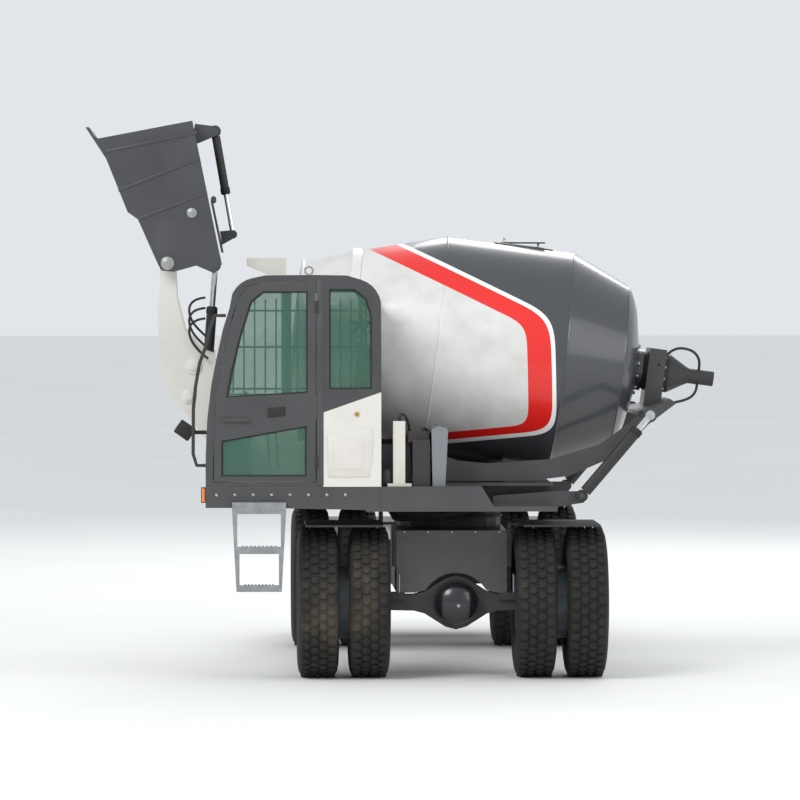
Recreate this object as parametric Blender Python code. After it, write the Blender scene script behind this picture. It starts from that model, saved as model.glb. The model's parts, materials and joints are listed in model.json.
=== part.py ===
"""Self-loading concrete mixer truck.

World frame: metres, +Z up, origin on the ground below the slewing axis. The chassis points along -Y
(front) and the upper deck stands turned a quarter turn, so its front (bucket end) is at -X.
"""
import math

import bmesh
import bpy
from mathutils import Vector

# ---- driving dimensions (metres, degrees) ----------------------------------------------------------
GAP = 0.0003            # seat between pieces that touch
RUN = 0.006             # running clearance between pieces that move past each other
SIDES = 12              # facets of a small round piece
ROUND = math.cos(math.pi / SIDES)   # flat-to-corner ratio of a small round piece
WHEEL_SIDES = 20
EYE_HALF = 0.030        # half width of a cylinder eye
EYE_PLAY = 0.0006       # play beside an eye and round a rod
LUG = 0.015             # thickness of the plates beside an eye
LUG_RADIUS = 0.036
PIN_RADIUS = 0.020

# wheels and axles
TYRE_RADIUS = 0.543
TYRE_WIDTH = 0.295
RIM_RADIUS = 0.257
INNER_WHEEL_X = 0.592
OUTER_WHEEL_X = 0.957
SPINDLE_RADIUS = 0.045
AXLE_Z = TYRE_RADIUS
FRONT_AXLE_Y = -0.75
WHEELBASE = 3.35
BALL_RADIUS = 0.162
BALL_X = 0.03

# chassis
FRAME_HALF_WIDTH = 0.395
FRAME_BOTTOM = 0.612
FRAME_TOP = 1.057
FRAME_FRONT_Y = -0.82
FRAME_PLATE = 0.030
HINGE_Y = 0.925         # articulation axis between the front and the rear frame
FENDER_PLATE = 0.014
HOOD_HALF_WIDTH = 0.91
HOOD_FRONT_Y = 3.30
HOOD_LENGTH = 1.15
HOOD_BOTTOM = 0.46
HOOD_TOP = 0.972
HOOD_SHEET = 0.020

# slewing ring and deck
RING_RADIUS = 0.39
RING_BORE = 0.25
RING_SPLIT = 1.112
DECK_BOTTOM = 1.211
DECK_TOP = 1.388
DECK_NEAR_Y = -1.25
DECK_FAR_Y = 1.15
DECK_FRONT_X = -1.757
DECK_BAY_X = -1.30      # front edge of the deck beside the cab, behind the loading arm
DECK_REAR_X = 0.733
DECK_FLOOR = 0.016
LADDER_TOP = 1.205
LADDER_BOTTOM = 0.649
LADDER_PLATE = 0.050

# cab
CAB_FAR_Y = -0.53
CAB_WALL = 0.040
CAB_ROOF = 2.885
CAB_REAR_X = -0.516
PILLAR_X = -0.975       # door edge on its hinge side
DOOR_GAP = 0.006

# drum and cradle
DRUM_Y = 0.20
DRUM_TILT = 7.13
DRUM_Z = 2.363          # height of the drum axis over the slewing axis
DRUM_RADIUS = 0.793
DRUM_WALL = 0.012
MOUTH_S, MOUTH_RADIUS = -1.108, 0.481
TRACK_S, TRACK_RADIUS = -0.733, 0.628
FRONT_SEAM_S = -0.091
REAR_SEAM_S = 0.836
TAIL_S, TAIL_RADIUS = 1.266, 0.603
END_S = 1.398
CRADLE_HINGE = (-0.70, 1.58)
CRADLE_HALF = 0.60
CRADLE_PLATE = 0.050
ROLLER_RADIUS = 0.090
ROLLER_ANGLE = 38.0

# loading arm, bucket and gate: pivots (x, z)
ARM_PIVOT = (-1.52, 1.50)
BUCKET_PIVOT = (-2.031, 2.966)
ARM_HALF = 0.60
ARM_PLATE = 0.040
BUCKET_HALF = 0.75
BUCKET_SHEET = 0.016
GATE_PIVOT = (-1.700, 3.430)
LIFT_BASE = (-0.62, 1.46)
LIFT_EYE_RADIUS, LIFT_EYE_ANGLE = 0.30, 33.0
TILT_BASE = (-1.742, 2.247)
TILT_EYE = (-1.689, 2.949)
GATE_BASE = (-1.690, 3.930)
GATE_EYE = (-1.560, 3.177)
DRUM_LIFT_BASE = (0.935, 1.301)
DRUM_LIFT_EYE = (1.425, 1.879)
DRUM_LIFT_SIDE = 0.95   # centre plane of the drum lift cylinders from the drum's plane
TILT_SIDE = -0.45       # centre plane of the bucket tilt cylinder
POST_X = (-1.20, -1.14) # posts that carry the inlet hopper
HOPPER_X = (-1.457, -1.10)
HOPPER_Z = (2.945, 2.800)   # underside of its sloping floor
HOPPER_TOP = 3.005


# ---- materials --------------------------------------------------------------------------------------
def material(name, rgb, roughness, metallic=0.0):
    found = bpy.data.materials.get(name)
    if found:
        return found
    made = bpy.data.materials.new(name)
    made.use_nodes = True
    shader = made.node_tree.nodes["Principled BSDF"]
    shader.inputs["Base Color"].default_value = (*rgb, 1.0)
    shader.inputs["Roughness"].default_value = roughness
    shader.inputs["Metallic"].default_value = metallic
    return made


def dark_paint():
    return material("dark_grey_paint", (0.102, 0.102, 0.098), 0.45)


def white_paint():
    return material("white_paint", (0.75, 0.73, 0.70), 0.35)


def black_steel():
    return material("black_steel", (0.030, 0.030, 0.032), 0.55)


def rubber():
    return material("tyre_rubber", (0.040, 0.037, 0.034), 0.85)


def chrome():
    return material("chromed_rod", (0.80, 0.80, 0.80), 0.15, 1.0)


def rim_paint():
    return material("rim_grey_paint", (0.158, 0.190, 0.212), 0.5)


# ---- shapes -----------------------------------------------------------------------------------------
def make_object(name, mesh_builder, paint=None):
    """Wrap a finished bmesh in a new scene object."""
    mesh = bpy.data.meshes.new(name)
    bmesh.ops.recalc_face_normals(mesh_builder, faces=mesh_builder.faces)
    mesh_builder.to_mesh(mesh)
    mesh_builder.free()
    made = bpy.data.objects.new(name, mesh)
    bpy.context.scene.collection.objects.link(made)
    if paint:
        mesh.materials.append(paint)
    return made


def prism(outline, low, high, axis="Y", name="piece", paint=None):
    """Extrude a closed outline along one axis. The outline holds (x, z) for Y, (x, y) for Z, (y, z) for X."""
    def place(point, along):
        a, b = point
        return {"X": (along, a, b), "Y": (a, along, b), "Z": (a, b, along)}[axis]
    built = bmesh.new()
    ring = [built.verts.new(place(point, low)) for point in outline]
    face = built.faces.new(ring)
    far = bmesh.ops.extrude_face_region(built, geom=[face])
    moved = [item for item in far["geom"] if isinstance(item, bmesh.types.BMVert)]
    step = Vector(place((0, 0), high)) - Vector(place((0, 0), low))
    bmesh.ops.translate(built, vec=step, verts=moved)
    return make_object(name, built, paint)


def box(x, y, z, name="piece", paint=None):
    """A block from its (low, high) pairs along X, Y and Z."""
    return prism([(x[0], z[0]), (x[1], z[0]), (x[1], z[1]), (x[0], z[1])], y[0], y[1], "Y", name, paint)


def turned(profile, start, direction, sides=SIDES, name="piece", paint=None):
    """Turn a closed (along, radius) profile about the axis through start. Points on the axis have radius 0."""
    way = Vector(direction).normalized()
    side = way.orthogonal().normalized()
    up = way.cross(side)
    origin = Vector(start)
    built = bmesh.new()
    rings = []
    for along, radius in profile:
        centre = origin + way * along
        if radius == 0:
            rings.append([built.verts.new(centre)] * sides)
            continue
        ring = []
        for index in range(sides):
            angle = 2 * math.pi * index / sides
            ring.append(built.verts.new(centre + (side * math.cos(angle) + up * math.sin(angle)) * radius))
        rings.append(ring)
    closed = profile[0][1] != 0
    last = len(rings) if closed else len(rings) - 1
    for row in range(last):
        here, after = rings[row], rings[(row + 1) % len(rings)]
        for index in range(sides):
            corner = (index + 1) % sides
            loop = [here[index], here[corner], after[corner], after[index]]
            face = [vert for place, vert in enumerate(loop) if vert not in loop[:place]]
            if len(face) > 2:
                built.faces.new(face)
    return make_object(name, built, paint)


def rod_between(start, end, radius, sides=SIDES, name="piece", paint=None):
    length = (Vector(end) - Vector(start)).length
    profile = [(0, 0), (0, radius), (length, radius), (length, 0)]
    return turned(profile, start, Vector(end) - Vector(start), sides, name, paint)


def pin(point, low, high, radius, sides=SIDES, name="piece", paint=None):
    """A round piece along Y at (x, z)."""
    return rod_between((point[0], low, point[1]), (point[0], high, point[1]), radius, sides, name, paint)


def merge(target, others, operation="UNION"):
    """Join solids to the target, or cut them from it, and drop the operands."""
    for other in others:
        step = target.modifiers.new("step", "BOOLEAN")
        step.object = other
        step.operation = operation
        step.solver = "EXACT"
        graph = bpy.context.evaluated_depsgraph_get()
        result = bpy.data.meshes.new_from_object(target.evaluated_get(graph))
        target.modifiers.clear()
        old = target.data
        target.data = result
        bpy.data.meshes.remove(old)
        bpy.data.objects.remove(other)
    target.data.name = target.name
    return target


def cut(target, others):
    return merge(target, others, "DIFFERENCE")


def smooth(target, degrees=35):
    target.data.shade_smooth()
    target.data.set_sharp_from_angle(angle=math.radians(degrees))
    return target


def arc(centre, radius, first, last, count):
    """Points on a circle from the first to the last angle in degrees."""
    points = []
    for index in range(count):
        angle = math.radians(first + (last - first) * index / (count - 1))
        points.append((centre[0] + radius * math.cos(angle), centre[1] + radius * math.sin(angle)))
    return points


def polar(centre, radius, degrees):
    angle = math.radians(degrees)
    return (centre[0] + radius * math.cos(angle), centre[1] + radius * math.sin(angle))


# ---- wheels and axles -------------------------------------------------------------------------------
def build_wheel(name, side, axle_y):
    """A hub with twin rims and its two tyres. side is -1 for -X and 1 for +X."""
    half = TYRE_WIDTH / 2
    start = (0, axle_y, AXLE_Z)
    way = (side, 0, 0)
    tyre_shape = [(-0.105, RIM_RADIUS), (-0.105, RIM_RADIUS + 0.024), (-half, 0.400), (-0.137, 0.490), (-0.112, TYRE_RADIUS),
                  (0.112, TYRE_RADIUS), (0.137, 0.490), (half, 0.400), (0.105, RIM_RADIUS + 0.024), (0.105, RIM_RADIUS)]
    for label, centre in (("inner", INNER_WHEEL_X), ("outer", OUTER_WHEEL_X)):
        profile = [(centre + along, radius) for along, radius in tyre_shape]
        smooth(turned(profile, start, way, WHEEL_SIDES, f"{name}_tyre_{label}", rubber()))
    seat = RIM_RADIUS - GAP
    flange = RIM_RADIUS + 0.020
    inner, outer = INNER_WHEEL_X, OUTER_WHEEL_X
    disc = (inner + outer) / 2
    profile = [(inner - 0.120, flange), (inner - 0.1085, flange), (inner - 0.1085, seat),
               (outer + 0.1085, seat), (outer + 0.1085, flange), (outer + 0.120, flange),
               (outer + 0.120, 0.240), (disc + 0.020, 0.225), (disc + 0.010, 0.140), (outer + 0.060, 0.120),
               (outer + 0.075, 0.0)]
    bore_end = disc - 0.06
    bore = SPINDLE_RADIUS + 0.0008
    profile += [(bore_end, 0.0), (bore_end, bore), (inner - 0.075, bore), (inner - 0.075, 0.200),
                (disc - 0.030, 0.225), (inner - 0.120, 0.240)]
    return smooth(turned_loop(profile, start, way, WHEEL_SIDES, f"{name}_rim", rim_paint()))


def build_axle(name, axle_y, ball_way):
    """Banjo axle: a beam with a round middle, its bowl towards ball_way along Y, and two spindles."""
    mid = BALL_X
    reach = INNER_WHEEL_X - 0.075 - RUN
    top = []
    steps = 8
    for index in range(steps + 1):
        share = index / steps
        x = mid - 0.30 + 0.60 * share
        swell = math.cos((share - 0.5) * math.pi) ** 2
        top.append((x, 0.057 + swell * (BALL_RADIUS - 0.027)))
    outline = [(-reach, AXLE_Z - 0.055), *[(x, AXLE_Z - height - 0.003) for x, height in top],
               (reach, AXLE_Z - 0.055), (reach, AXLE_Z + 0.055),
               *[(x, AXLE_Z + height) for x, height in reversed(top)], (-reach, AXLE_Z + 0.055)]
    beam = prism(outline, axle_y - 0.060, axle_y + 0.060, "Y", name, black_steel())
    bowl = [(0.0, BALL_RADIUS), (0.05, BALL_RADIUS * 0.96), (0.10, BALL_RADIUS * 0.80),
            (0.14, BALL_RADIUS * 0.50), (0.158, 0.0)]
    face = [(-0.01, 0.0), (-0.01, BALL_RADIUS)]
    nose = [(-0.01, 0.0), (-0.01, 0.13), (0.10, 0.11), (0.20, 0.06), (0.24, 0.05), (0.24, 0.0)]
    centre = (mid, axle_y + 0.045 * ball_way, AXLE_Z - 0.003)
    back = (mid, axle_y - 0.045 * ball_way, AXLE_Z - 0.003)
    spindle_end = (INNER_WHEEL_X + OUTER_WHEEL_X) / 2 - 0.06 - 0.0005
    pads = []
    for side in (-1, 1):
        pads.append(box(sorted((side * 0.335, side * 0.475)), (axle_y - 0.09, axle_y + 0.09),
                        (AXLE_Z + 0.02, FRAME_BOTTOM - GAP)))
    joined = [turned(face + bowl, centre, (0, ball_way, 0), 16),
              turned(nose, back, (0, -ball_way, 0), 16),
              rod_between((-spindle_end, axle_y, AXLE_Z), (spindle_end, axle_y, AXLE_Z), SPINDLE_RADIUS, WHEEL_SIDES)]
    return smooth(merge(beam, joined + pads))


# ---- chassis ----------------------------------------------------------------------------------------
def build_front_frame():
    """Pedestal box over the front axle with its walls, and the tongue that holds the articulation pin."""
    half = FRAME_HALF_WIDTH
    back = HINGE_Y - 0.30
    shell = box((-half, half), (FRAME_FRONT_Y, back), (FRAME_BOTTOM, FRAME_TOP), "front_frame", dark_paint())
    inside = box((-half + FRAME_PLATE, half - FRAME_PLATE), (FRAME_FRONT_Y + FRAME_PLATE, back - FRAME_PLATE),
                 (FRAME_BOTTOM - 0.1, FRAME_TOP - FRAME_PLATE))
    reach = BALL_RADIUS + 0.085
    arch = arc((BALL_X, AXLE_Z - 0.04), reach + 0.005, 0, 180, 13)
    arch = [(BALL_X + 0.30, AXLE_Z), (BALL_X + 0.29, FRAME_BOTTOM + 0.002), *arch[2:-2],
            (BALL_X - 0.29, FRAME_BOTTOM + 0.002), (BALL_X - 0.30, AXLE_Z)]
    cutter = prism(arch, FRAME_FRONT_Y - 0.1, FRAME_FRONT_Y + FRAME_PLATE + 0.1, "Y")
    centre_hole = turned([(-0.2, 0), (-0.2, 0.20), (0.2, 0.20), (0.2, 0)], (0, 0, FRAME_TOP), (0, 0, 1), 16)
    cut(shell, [inside, cutter, centre_hole])
    tongues = []
    for low, high in ((0.66, 0.70), (0.92, 0.96)):
        tongues.append(box((-0.17, 0.17), (back - 0.02, HINGE_Y + 0.07), (low, high)))
    post = rod_between((0, HINGE_Y, 0.655), (0, HINGE_Y, 0.965), 0.035, 16)
    rib = box((-0.36, 0.36), (FRAME_FRONT_Y + 0.01, FRAME_FRONT_Y + 0.06), (FRAME_TOP - 0.045, FRAME_TOP - 0.01))
    return merge(shell, [*tongues, post, rib])


def build_rear_frame():
    """Two rails with cross members, from the articulation to behind the engine."""
    rear_axle_y = FRONT_AXLE_Y + WHEELBASE
    end = HOOD_FRONT_Y + HOOD_LENGTH - 0.06
    start = HINGE_Y + 0.16
    low, high = FRAME_BOTTOM, 0.90
    frame = box((-0.395, -0.335), (start, end), (low, high), "rear_frame", dark_paint())
    right = box((0.335, 0.395), (start, end), (low, high))
    members = [box((-0.39, 0.39), (y, y + 0.08), (low + 0.02, high - 0.02))
               for y in (start, rear_axle_y - 0.55, rear_axle_y + 0.40)]
    members.append(box((-0.39, 0.39), (end - 0.03, end), (low, high)))
    head = box((-0.15, 0.15), (HINGE_Y - 0.06, start + 0.02), (0.706, 0.914))
    bore = rod_between((0, HINGE_Y, 0.6), (0, HINGE_Y, 1.0), 0.0362, 16)
    merge(frame, [right, *members, head])
    return cut(frame, [bore])


def build_fender(name, side, axle_y, deep):
    """Flat plate over the twin tyres, with a strip and a foot that carry it on the frame's side."""
    low = TYRE_RADIUS * 2 + 0.012
    plate = box(sorted((side * 0.50, side * 1.045)), (axle_y - deep, axle_y + deep), (low, low + FENDER_PLATE),
                name, black_steel())
    frame_side = FRAME_HALF_WIDTH + GAP
    strip = box(sorted((side * frame_side, side * 0.52)), (axle_y - 0.10, axle_y + 0.10), (low + 0.002, low + 0.012))
    foot = box(sorted((side * frame_side, side * (frame_side + 0.030))), (axle_y - 0.08, axle_y + 0.08),
               (0.80, low + 0.010))
    return merge(plate, [strip, foot])


def build_hood():
    """Sheet hood round the engine, open below and at its front."""
    half = HOOD_HALF_WIDTH
    back = HOOD_FRONT_Y + HOOD_LENGTH
    hood = box((-half, half), (HOOD_FRONT_Y, back), (HOOD_BOTTOM, HOOD_TOP), "engine_hood", white_paint())
    inside = box((-half + HOOD_SHEET, half - HOOD_SHEET), (HOOD_FRONT_Y + HOOD_SHEET, back - HOOD_SHEET),
                 (HOOD_BOTTOM - 0.1, HOOD_TOP - HOOD_SHEET))
    slots = [box((-0.3955, -0.3345), (HOOD_FRONT_Y - 0.1, HOOD_FRONT_Y + 0.1), (HOOD_BOTTOM - 0.1, 0.9005)),
             box((0.3345, 0.3955), (HOOD_FRONT_Y - 0.1, HOOD_FRONT_Y + 0.1), (HOOD_BOTTOM - 0.1, 0.9005))]
    grille = box((-0.28, 0.28), (back - 0.1, back + 0.1), (HOOD_BOTTOM + 0.14, HOOD_TOP - 0.09))
    cut(hood, [inside, *slots, grille])
    bridge = box((-half + 0.01, half - 0.01), (HOOD_FRONT_Y + 0.30, HOOD_FRONT_Y + 0.36), (0.9005, HOOD_TOP - 0.01))
    return merge(hood, [bridge])


def build_engine():
    start = HOOD_FRONT_Y + 0.12
    return box((-0.334, 0.334), (start, start + 0.16), (0.50, 0.88))


# ---- deck -------------------------------------------------------------------------------------------
def build_deck():
    """Slewing platform: side beams, floor and base plate, arm brackets, cradle lugs and rear gussets."""
    near, far = DECK_NEAR_Y, DECK_FAR_Y
    inner = CAB_FAR_Y + 0.03
    base = DECK_BOTTOM
    outline = [(DECK_FRONT_X, near), (DECK_REAR_X, near), (DECK_REAR_X, far), (DECK_BAY_X, far),
               (DECK_BAY_X, inner), (DECK_FRONT_X, inner)]
    deck = prism(outline, DECK_TOP - DECK_FLOOR, DECK_TOP, "Z", "deck_frame", dark_paint())
    trim_end = prism([(0.195, DECK_TOP + 0.1), (0.195, DECK_TOP), (0.283, base + 0.035), (1.2, base + 0.035),
                      (1.2, DECK_TOP + 0.1)], near - 0.1, near + 0.55, "Y")
    trim_far = prism([(0.195, DECK_TOP + 0.1), (0.195, DECK_TOP), (0.283, base + 0.035), (1.2, base + 0.035),
                      (1.2, DECK_TOP + 0.1)], far - 0.35, far + 0.1, "Y")
    beams = []
    for low, high in ((near, near + 0.06), (far - 0.06, far)):
        front = DECK_FRONT_X if low == near else DECK_BAY_X
        shape = [(front, base + 0.028), (front + 0.4, base + 0.028), (-0.52, base + 0.010), (-0.10, base),
                 (DECK_REAR_X, base), (DECK_REAR_X, DECK_TOP), (front, DECK_TOP)]
        beams.append(prism(shape, low, high, "Y"))
    beams.append(box((DECK_FRONT_X, DECK_FRONT_X + 0.05), (near, inner), (base + 0.028, DECK_TOP)))
    beams.append(box((DECK_FRONT_X, DECK_BAY_X + 0.06), (inner - 0.05, inner), (base + 0.028, DECK_TOP)))
    beams.append(box((DECK_BAY_X, DECK_BAY_X + 0.06), (inner - 0.05, far), (base + 0.010, DECK_TOP)))
    for y in (DRUM_Y - CRADLE_HALF, DRUM_Y + CRADLE_HALF):
        beams.append(box((DECK_BAY_X, DECK_REAR_X), (y - 0.05, y + 0.05), (base, DECK_TOP)))
    base_plate = box((-0.62, DECK_REAR_X), (near, far), (base, base + 0.030))
    merge(deck, [*beams, base_plate])
    cut(deck, [trim_end, trim_far])
    # ring boss under the base plate
    boss = turned([(0, RING_BORE), (0, RING_RADIUS - 0.02), (base + 0.01 - 1.160, RING_RADIUS - 0.02),
                   (base + 0.01 - 1.160, RING_BORE)], (0, 0, 1.160), (0, 0, 1), 20)
    cross = [box((-0.05, 0.01), (near + 0.02, far - 0.02), (base, DECK_TOP - 0.04)),
             box((0.50, 0.56), (near + 0.25, far - 0.02), (base, DECK_TOP - 0.16))]
    merge(deck, [boss, *cross])
    # arm brackets: plates outside the arm plates, with the arm's pivot pins
    brackets = []
    for side in (-1, 1):
        inner_face = ARM_HALF + ARM_PLATE / 2 + RUN
        low, high = sorted((DRUM_Y + side * inner_face, DRUM_Y + side * (inner_face + 0.030)))
        x, z = ARM_PIVOT
        shape = [(DECK_BAY_X + 0.05, base + 0.02), (DECK_BAY_X + 0.05, DECK_TOP + 0.02), (x + 0.10, z + 0.02),
                 *arc(ARM_PIVOT, 0.06, 45, 200, 6), (x - 0.03, z - 0.10), (DECK_BAY_X - 0.02, base + 0.02)]
        brackets.append(prism(shape, low, high, "Y"))
        reach = DRUM_Y + side * (ARM_HALF - ARM_PLATE / 2 - 0.015)
        brackets.append(pin(ARM_PIVOT, *sorted((DRUM_Y + side * (inner_face + 0.015), reach)), 0.030))
    # lugs and pin of the lift cylinder's base
    x, z = LIFT_BASE
    for side in (-1, 1):
        low, high = sorted(DRUM_Y + side * (EYE_HALF + EYE_PLAY + depth) for depth in (0.0, LUG))
        shape = [(x - LUG_RADIUS, DECK_TOP - 0.01), (x + LUG_RADIUS, DECK_TOP - 0.01),
                 *arc(LIFT_BASE, LUG_RADIUS, 0, 180, 6)]
        brackets.append(prism(shape, low, high, "Y"))
    brackets.append(pin(LIFT_BASE, DRUM_Y - EYE_HALF - LUG / 2, DRUM_Y + EYE_HALF + LUG / 2, PIN_RADIUS))
    # lugs that carry the cradle's hinge pin
    for side in (-1, 1):
        y = DRUM_Y + side * (CRADLE_HALF - CRADLE_PLATE / 2 - RUN)
        low, high = sorted((y, y - side * 0.040))
        x, z = CRADLE_HINGE
        shape = [(x - 0.10, DECK_TOP - 0.01), (x + 0.10, DECK_TOP - 0.01), *arc(CRADLE_HINGE, 0.055, 0, 180, 7)]
        brackets.append(prism(shape, low, high, "Y"))
        reach = DRUM_Y + side * (CRADLE_HALF + CRADLE_PLATE / 2 + 0.01)
        brackets.append(pin(CRADLE_HINGE, *sorted((y - side * 0.02, reach)), 0.030))
    # rear gussets with the drum lift cylinders' base eyes
    for side in (-1, 1):
        y = DRUM_Y + side * DRUM_LIFT_SIDE
        x, z = DRUM_LIFT_BASE
        low, high = sorted((y - side * (EYE_HALF + EYE_PLAY), y - side * 0.061))
        shape = [(0.30, base + 0.01), (DECK_REAR_X - 0.03, base), (x + 0.02, z - 0.050),
                 *arc(DRUM_LIFT_BASE, LUG_RADIUS, -50, 120, 6), (0.72, z + 0.030), (0.30, base + 0.09)]
        brackets.append(prism(shape, low, high, "Y"))
        brackets.append(pin(DRUM_LIFT_BASE, *sorted((y - side * 0.05, y + side * EYE_HALF)), PIN_RADIUS))
    return merge(deck, brackets)


def build_ladder():
    """Folded plate ladder below the deck's edge: two openings with treads."""
    low, high = DECK_NEAR_Y - 0.075, DECK_NEAR_Y - 0.075 + LADDER_PLATE
    left, right, taper = -1.570, -1.190, 0.030
    shape = [(left, LADDER_TOP), (left + taper, LADDER_BOTTOM), (right - taper, LADDER_BOTTOM),
             (right, LADDER_TOP), (right, LADDER_TOP + 0.075), (left, LADDER_TOP + 0.075)]
    ladder = prism(shape, low, high, "Y", "ladder", dark_paint())
    holes = [box((left + 0.036, right - 0.036), (low - 0.1, high + 0.1), (0.966, 1.199)),
             box((left + 0.052, right - 0.050), (low - 0.1, high + 0.1), (0.694, 0.917))]
    cut(ladder, holes)
    hook = box((left, right), (high - 0.01, DECK_NEAR_Y - GAP), (LADDER_TOP + 0.02, LADDER_TOP + 0.075))
    return merge(ladder, [hook])


# ---- cab --------------------------------------------------------------------------------------------
def cab_outline(inset=0.0):
    """Side outline of the cab (x, z), taken in by inset on every side."""
    front = DECK_FRONT_X + inset
    floor = DECK_TOP + GAP + inset
    rear = CAB_REAR_X - inset
    roof = CAB_ROOF - inset
    points = [(front, floor), (front, 1.60), (front + 0.012, 1.866), (front + 0.041, 2.112),
              (front + 0.076, 2.288), (front + 0.123, 2.499), (front + 0.17, 2.65)]
    points += [(x, z) for x, z in arc((-1.385, 2.665), 0.202 - inset, 155, 100, 5)]
    points += [(-1.33, roof - 0.003), (-0.979, roof), (-0.76, roof - 0.004)]
    points += arc((rear - 0.20, roof - 0.225), 0.20, 75, 8, 6)
    points += [(rear, 2.45), (rear, floor)]
    return points


def build_cab():
    """Hollow cab with its door opening and windows cut."""
    near, far = DECK_NEAR_Y, CAB_FAR_Y
    shell = prism(cab_outline(), near, far, "Y", "cab_shell", white_paint())
    hollow = prism(cab_outline(CAB_WALL), near + CAB_WALL, far - CAB_WALL, "Y")
    door_hole = prism(door_outline(-DOOR_GAP), near - 0.1, near + CAB_WALL + 0.05, "Y")
    quarter = prism([(-0.885, 2.077), (-0.580, 2.077), (-0.580, 2.60), (-0.62, 2.72), (-0.70, 2.785),
                     (-0.885, 2.785)], near - 0.1, near + CAB_WALL + 0.05, "Y")
    far_window = prism([(-1.60, 2.02), (-0.60, 2.02), (-0.60, 2.65), (-0.68, 2.77), (-1.36, 2.77),
                        (-1.47, 2.69)], far - CAB_WALL - 0.05, far + 0.1, "Y")
    front_window = prism([(near + 0.07, 1.62), (far - 0.07, 1.62), (far - 0.07, 2.64), (near + 0.07, 2.64)],
                         -2.0, -1.52, "X")
    rear_window = prism([(near + 0.09, 2.10), (far - 0.09, 2.10), (far - 0.09, 2.60), (near + 0.09, 2.60)],
                        -0.60, -0.40, "X")
    return cut(shell, [hollow, door_hole, quarter, far_window, front_window, rear_window])


def door_outline(inset=0.0):
    """Outline of the door leaf; a negative inset gives its opening."""
    front, rear = -1.700 + inset, PILLAR_X - 0.004 - inset
    low, high = 1.425 + inset, 2.835 - inset
    return [(front, low), (rear, low), (rear, high), (-1.34, high), (-1.455 + inset * 0.8, 2.80 - inset * 0.8),
            (-1.530 + inset, 2.71), (-1.600 + inset, 2.45), (-1.660 + inset, 2.15), (-1.690 + inset, 1.90)]


def build_door():
    near = DECK_NEAR_Y
    door = prism(door_outline(), near, near + CAB_WALL, "Y", "cab_door", dark_paint())
    upper = prism([(-1.611, 2.018), (-1.035, 2.050), (-1.035, 2.770), (-1.353, 2.770), (-1.440, 2.700),
                   (-1.520, 2.450), (-1.585, 2.180)], near - 0.1, near + 0.1, "Y")
    lower = prism([(-1.646, 1.460), (-1.043, 1.460), (-1.043, 1.819), (-1.646, 1.714)], near - 0.1, near + 0.1, "Y")
    handle = box((-1.640, -1.450), (near - 0.022, near + 0.01), (1.850, 1.872))
    return merge(cut(door, [upper, lower]), [handle])


def build_handrail():
    """Grab rail in front of the cab's corner pillar."""
    route = [(-1.613, 2.598), (-1.690, 2.598), (-1.719, 2.524), (-1.763, 2.358), (-1.798, 2.264),
             (-1.827, 2.101), (-1.843, 1.938), (-1.845, 1.620), (-1.820, 1.539), (DECK_FRONT_X - GAP, 1.539)]
    curve = bpy.data.curves.new("handrail", "CURVE")
    curve.dimensions = "3D"
    curve.bevel_depth = 0.014
    curve.bevel_resolution = 1
    curve.use_fill_caps = True
    spline = curve.splines.new("POLY")
    spline.points.add(len(route) - 1)
    for point, (x, z) in zip(spline.points, route):
        point.co = (x, DECK_NEAR_Y + 0.03, z, 1)
    rail = bpy.data.objects.new("handrail", curve)
    curve.materials.append(black_steel())
    bpy.context.scene.collection.objects.link(rail)
    return rail


def build_seat():
    middle = (DECK_NEAR_Y + CAB_FAR_Y) / 2
    floor = DECK_TOP + GAP + CAB_WALL + GAP
    seat = box((-1.10, -0.66), (middle - 0.22, middle + 0.22), (floor + 0.28, floor + 0.42), "operator_seat", black_steel())
    back = prism([(-0.76, floor + 0.30), (-0.62, floor + 0.30), (-0.56, floor + 0.95), (-0.66, floor + 0.97)],
                 middle - 0.21, middle + 0.21, "Y")
    foot = box((-1.05, -0.72), (middle - 0.16, middle + 0.16), (floor, floor + 0.30))
    return merge(seat, [back, foot])


def build_console():
    floor = DECK_TOP + GAP + CAB_WALL + GAP
    near = DECK_NEAR_Y + CAB_WALL + 0.03
    console = prism([(-1.66, floor), (-1.44, floor), (-1.44, floor + 0.32), (-1.60, floor + 0.42), (-1.66, floor + 0.38)],
                    near + 0.08, CAB_FAR_Y - CAB_WALL - 0.05, "Y", "control_console", black_steel())
    column = rod_between((-1.50, (DECK_NEAR_Y + CAB_FAR_Y) / 2, floor + 0.30),
                         (-1.33, (DECK_NEAR_Y + CAB_FAR_Y) / 2, floor + 0.52), 0.030)
    wheel = turned([(0, 0.155), (0, 0.185), (0.024, 0.185), (0.024, 0.155)],
                   (-1.345, (DECK_NEAR_Y + CAB_FAR_Y) / 2, floor + 0.50), (0.17, 0, 0.22), 20)
    spokes = prism([(-1.35 - 0.13, floor + 0.50 + 0.10), (-1.35 + 0.13, floor + 0.50 - 0.10),
                    (-1.337 + 0.13, floor + 0.517 - 0.10), (-1.337 - 0.13, floor + 0.517 + 0.10)],
                   (DECK_NEAR_Y + CAB_FAR_Y) / 2 - 0.02, (DECK_NEAR_Y + CAB_FAR_Y) / 2 + 0.02, "Y")
    return merge(console, [column, spokes, wheel])


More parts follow.
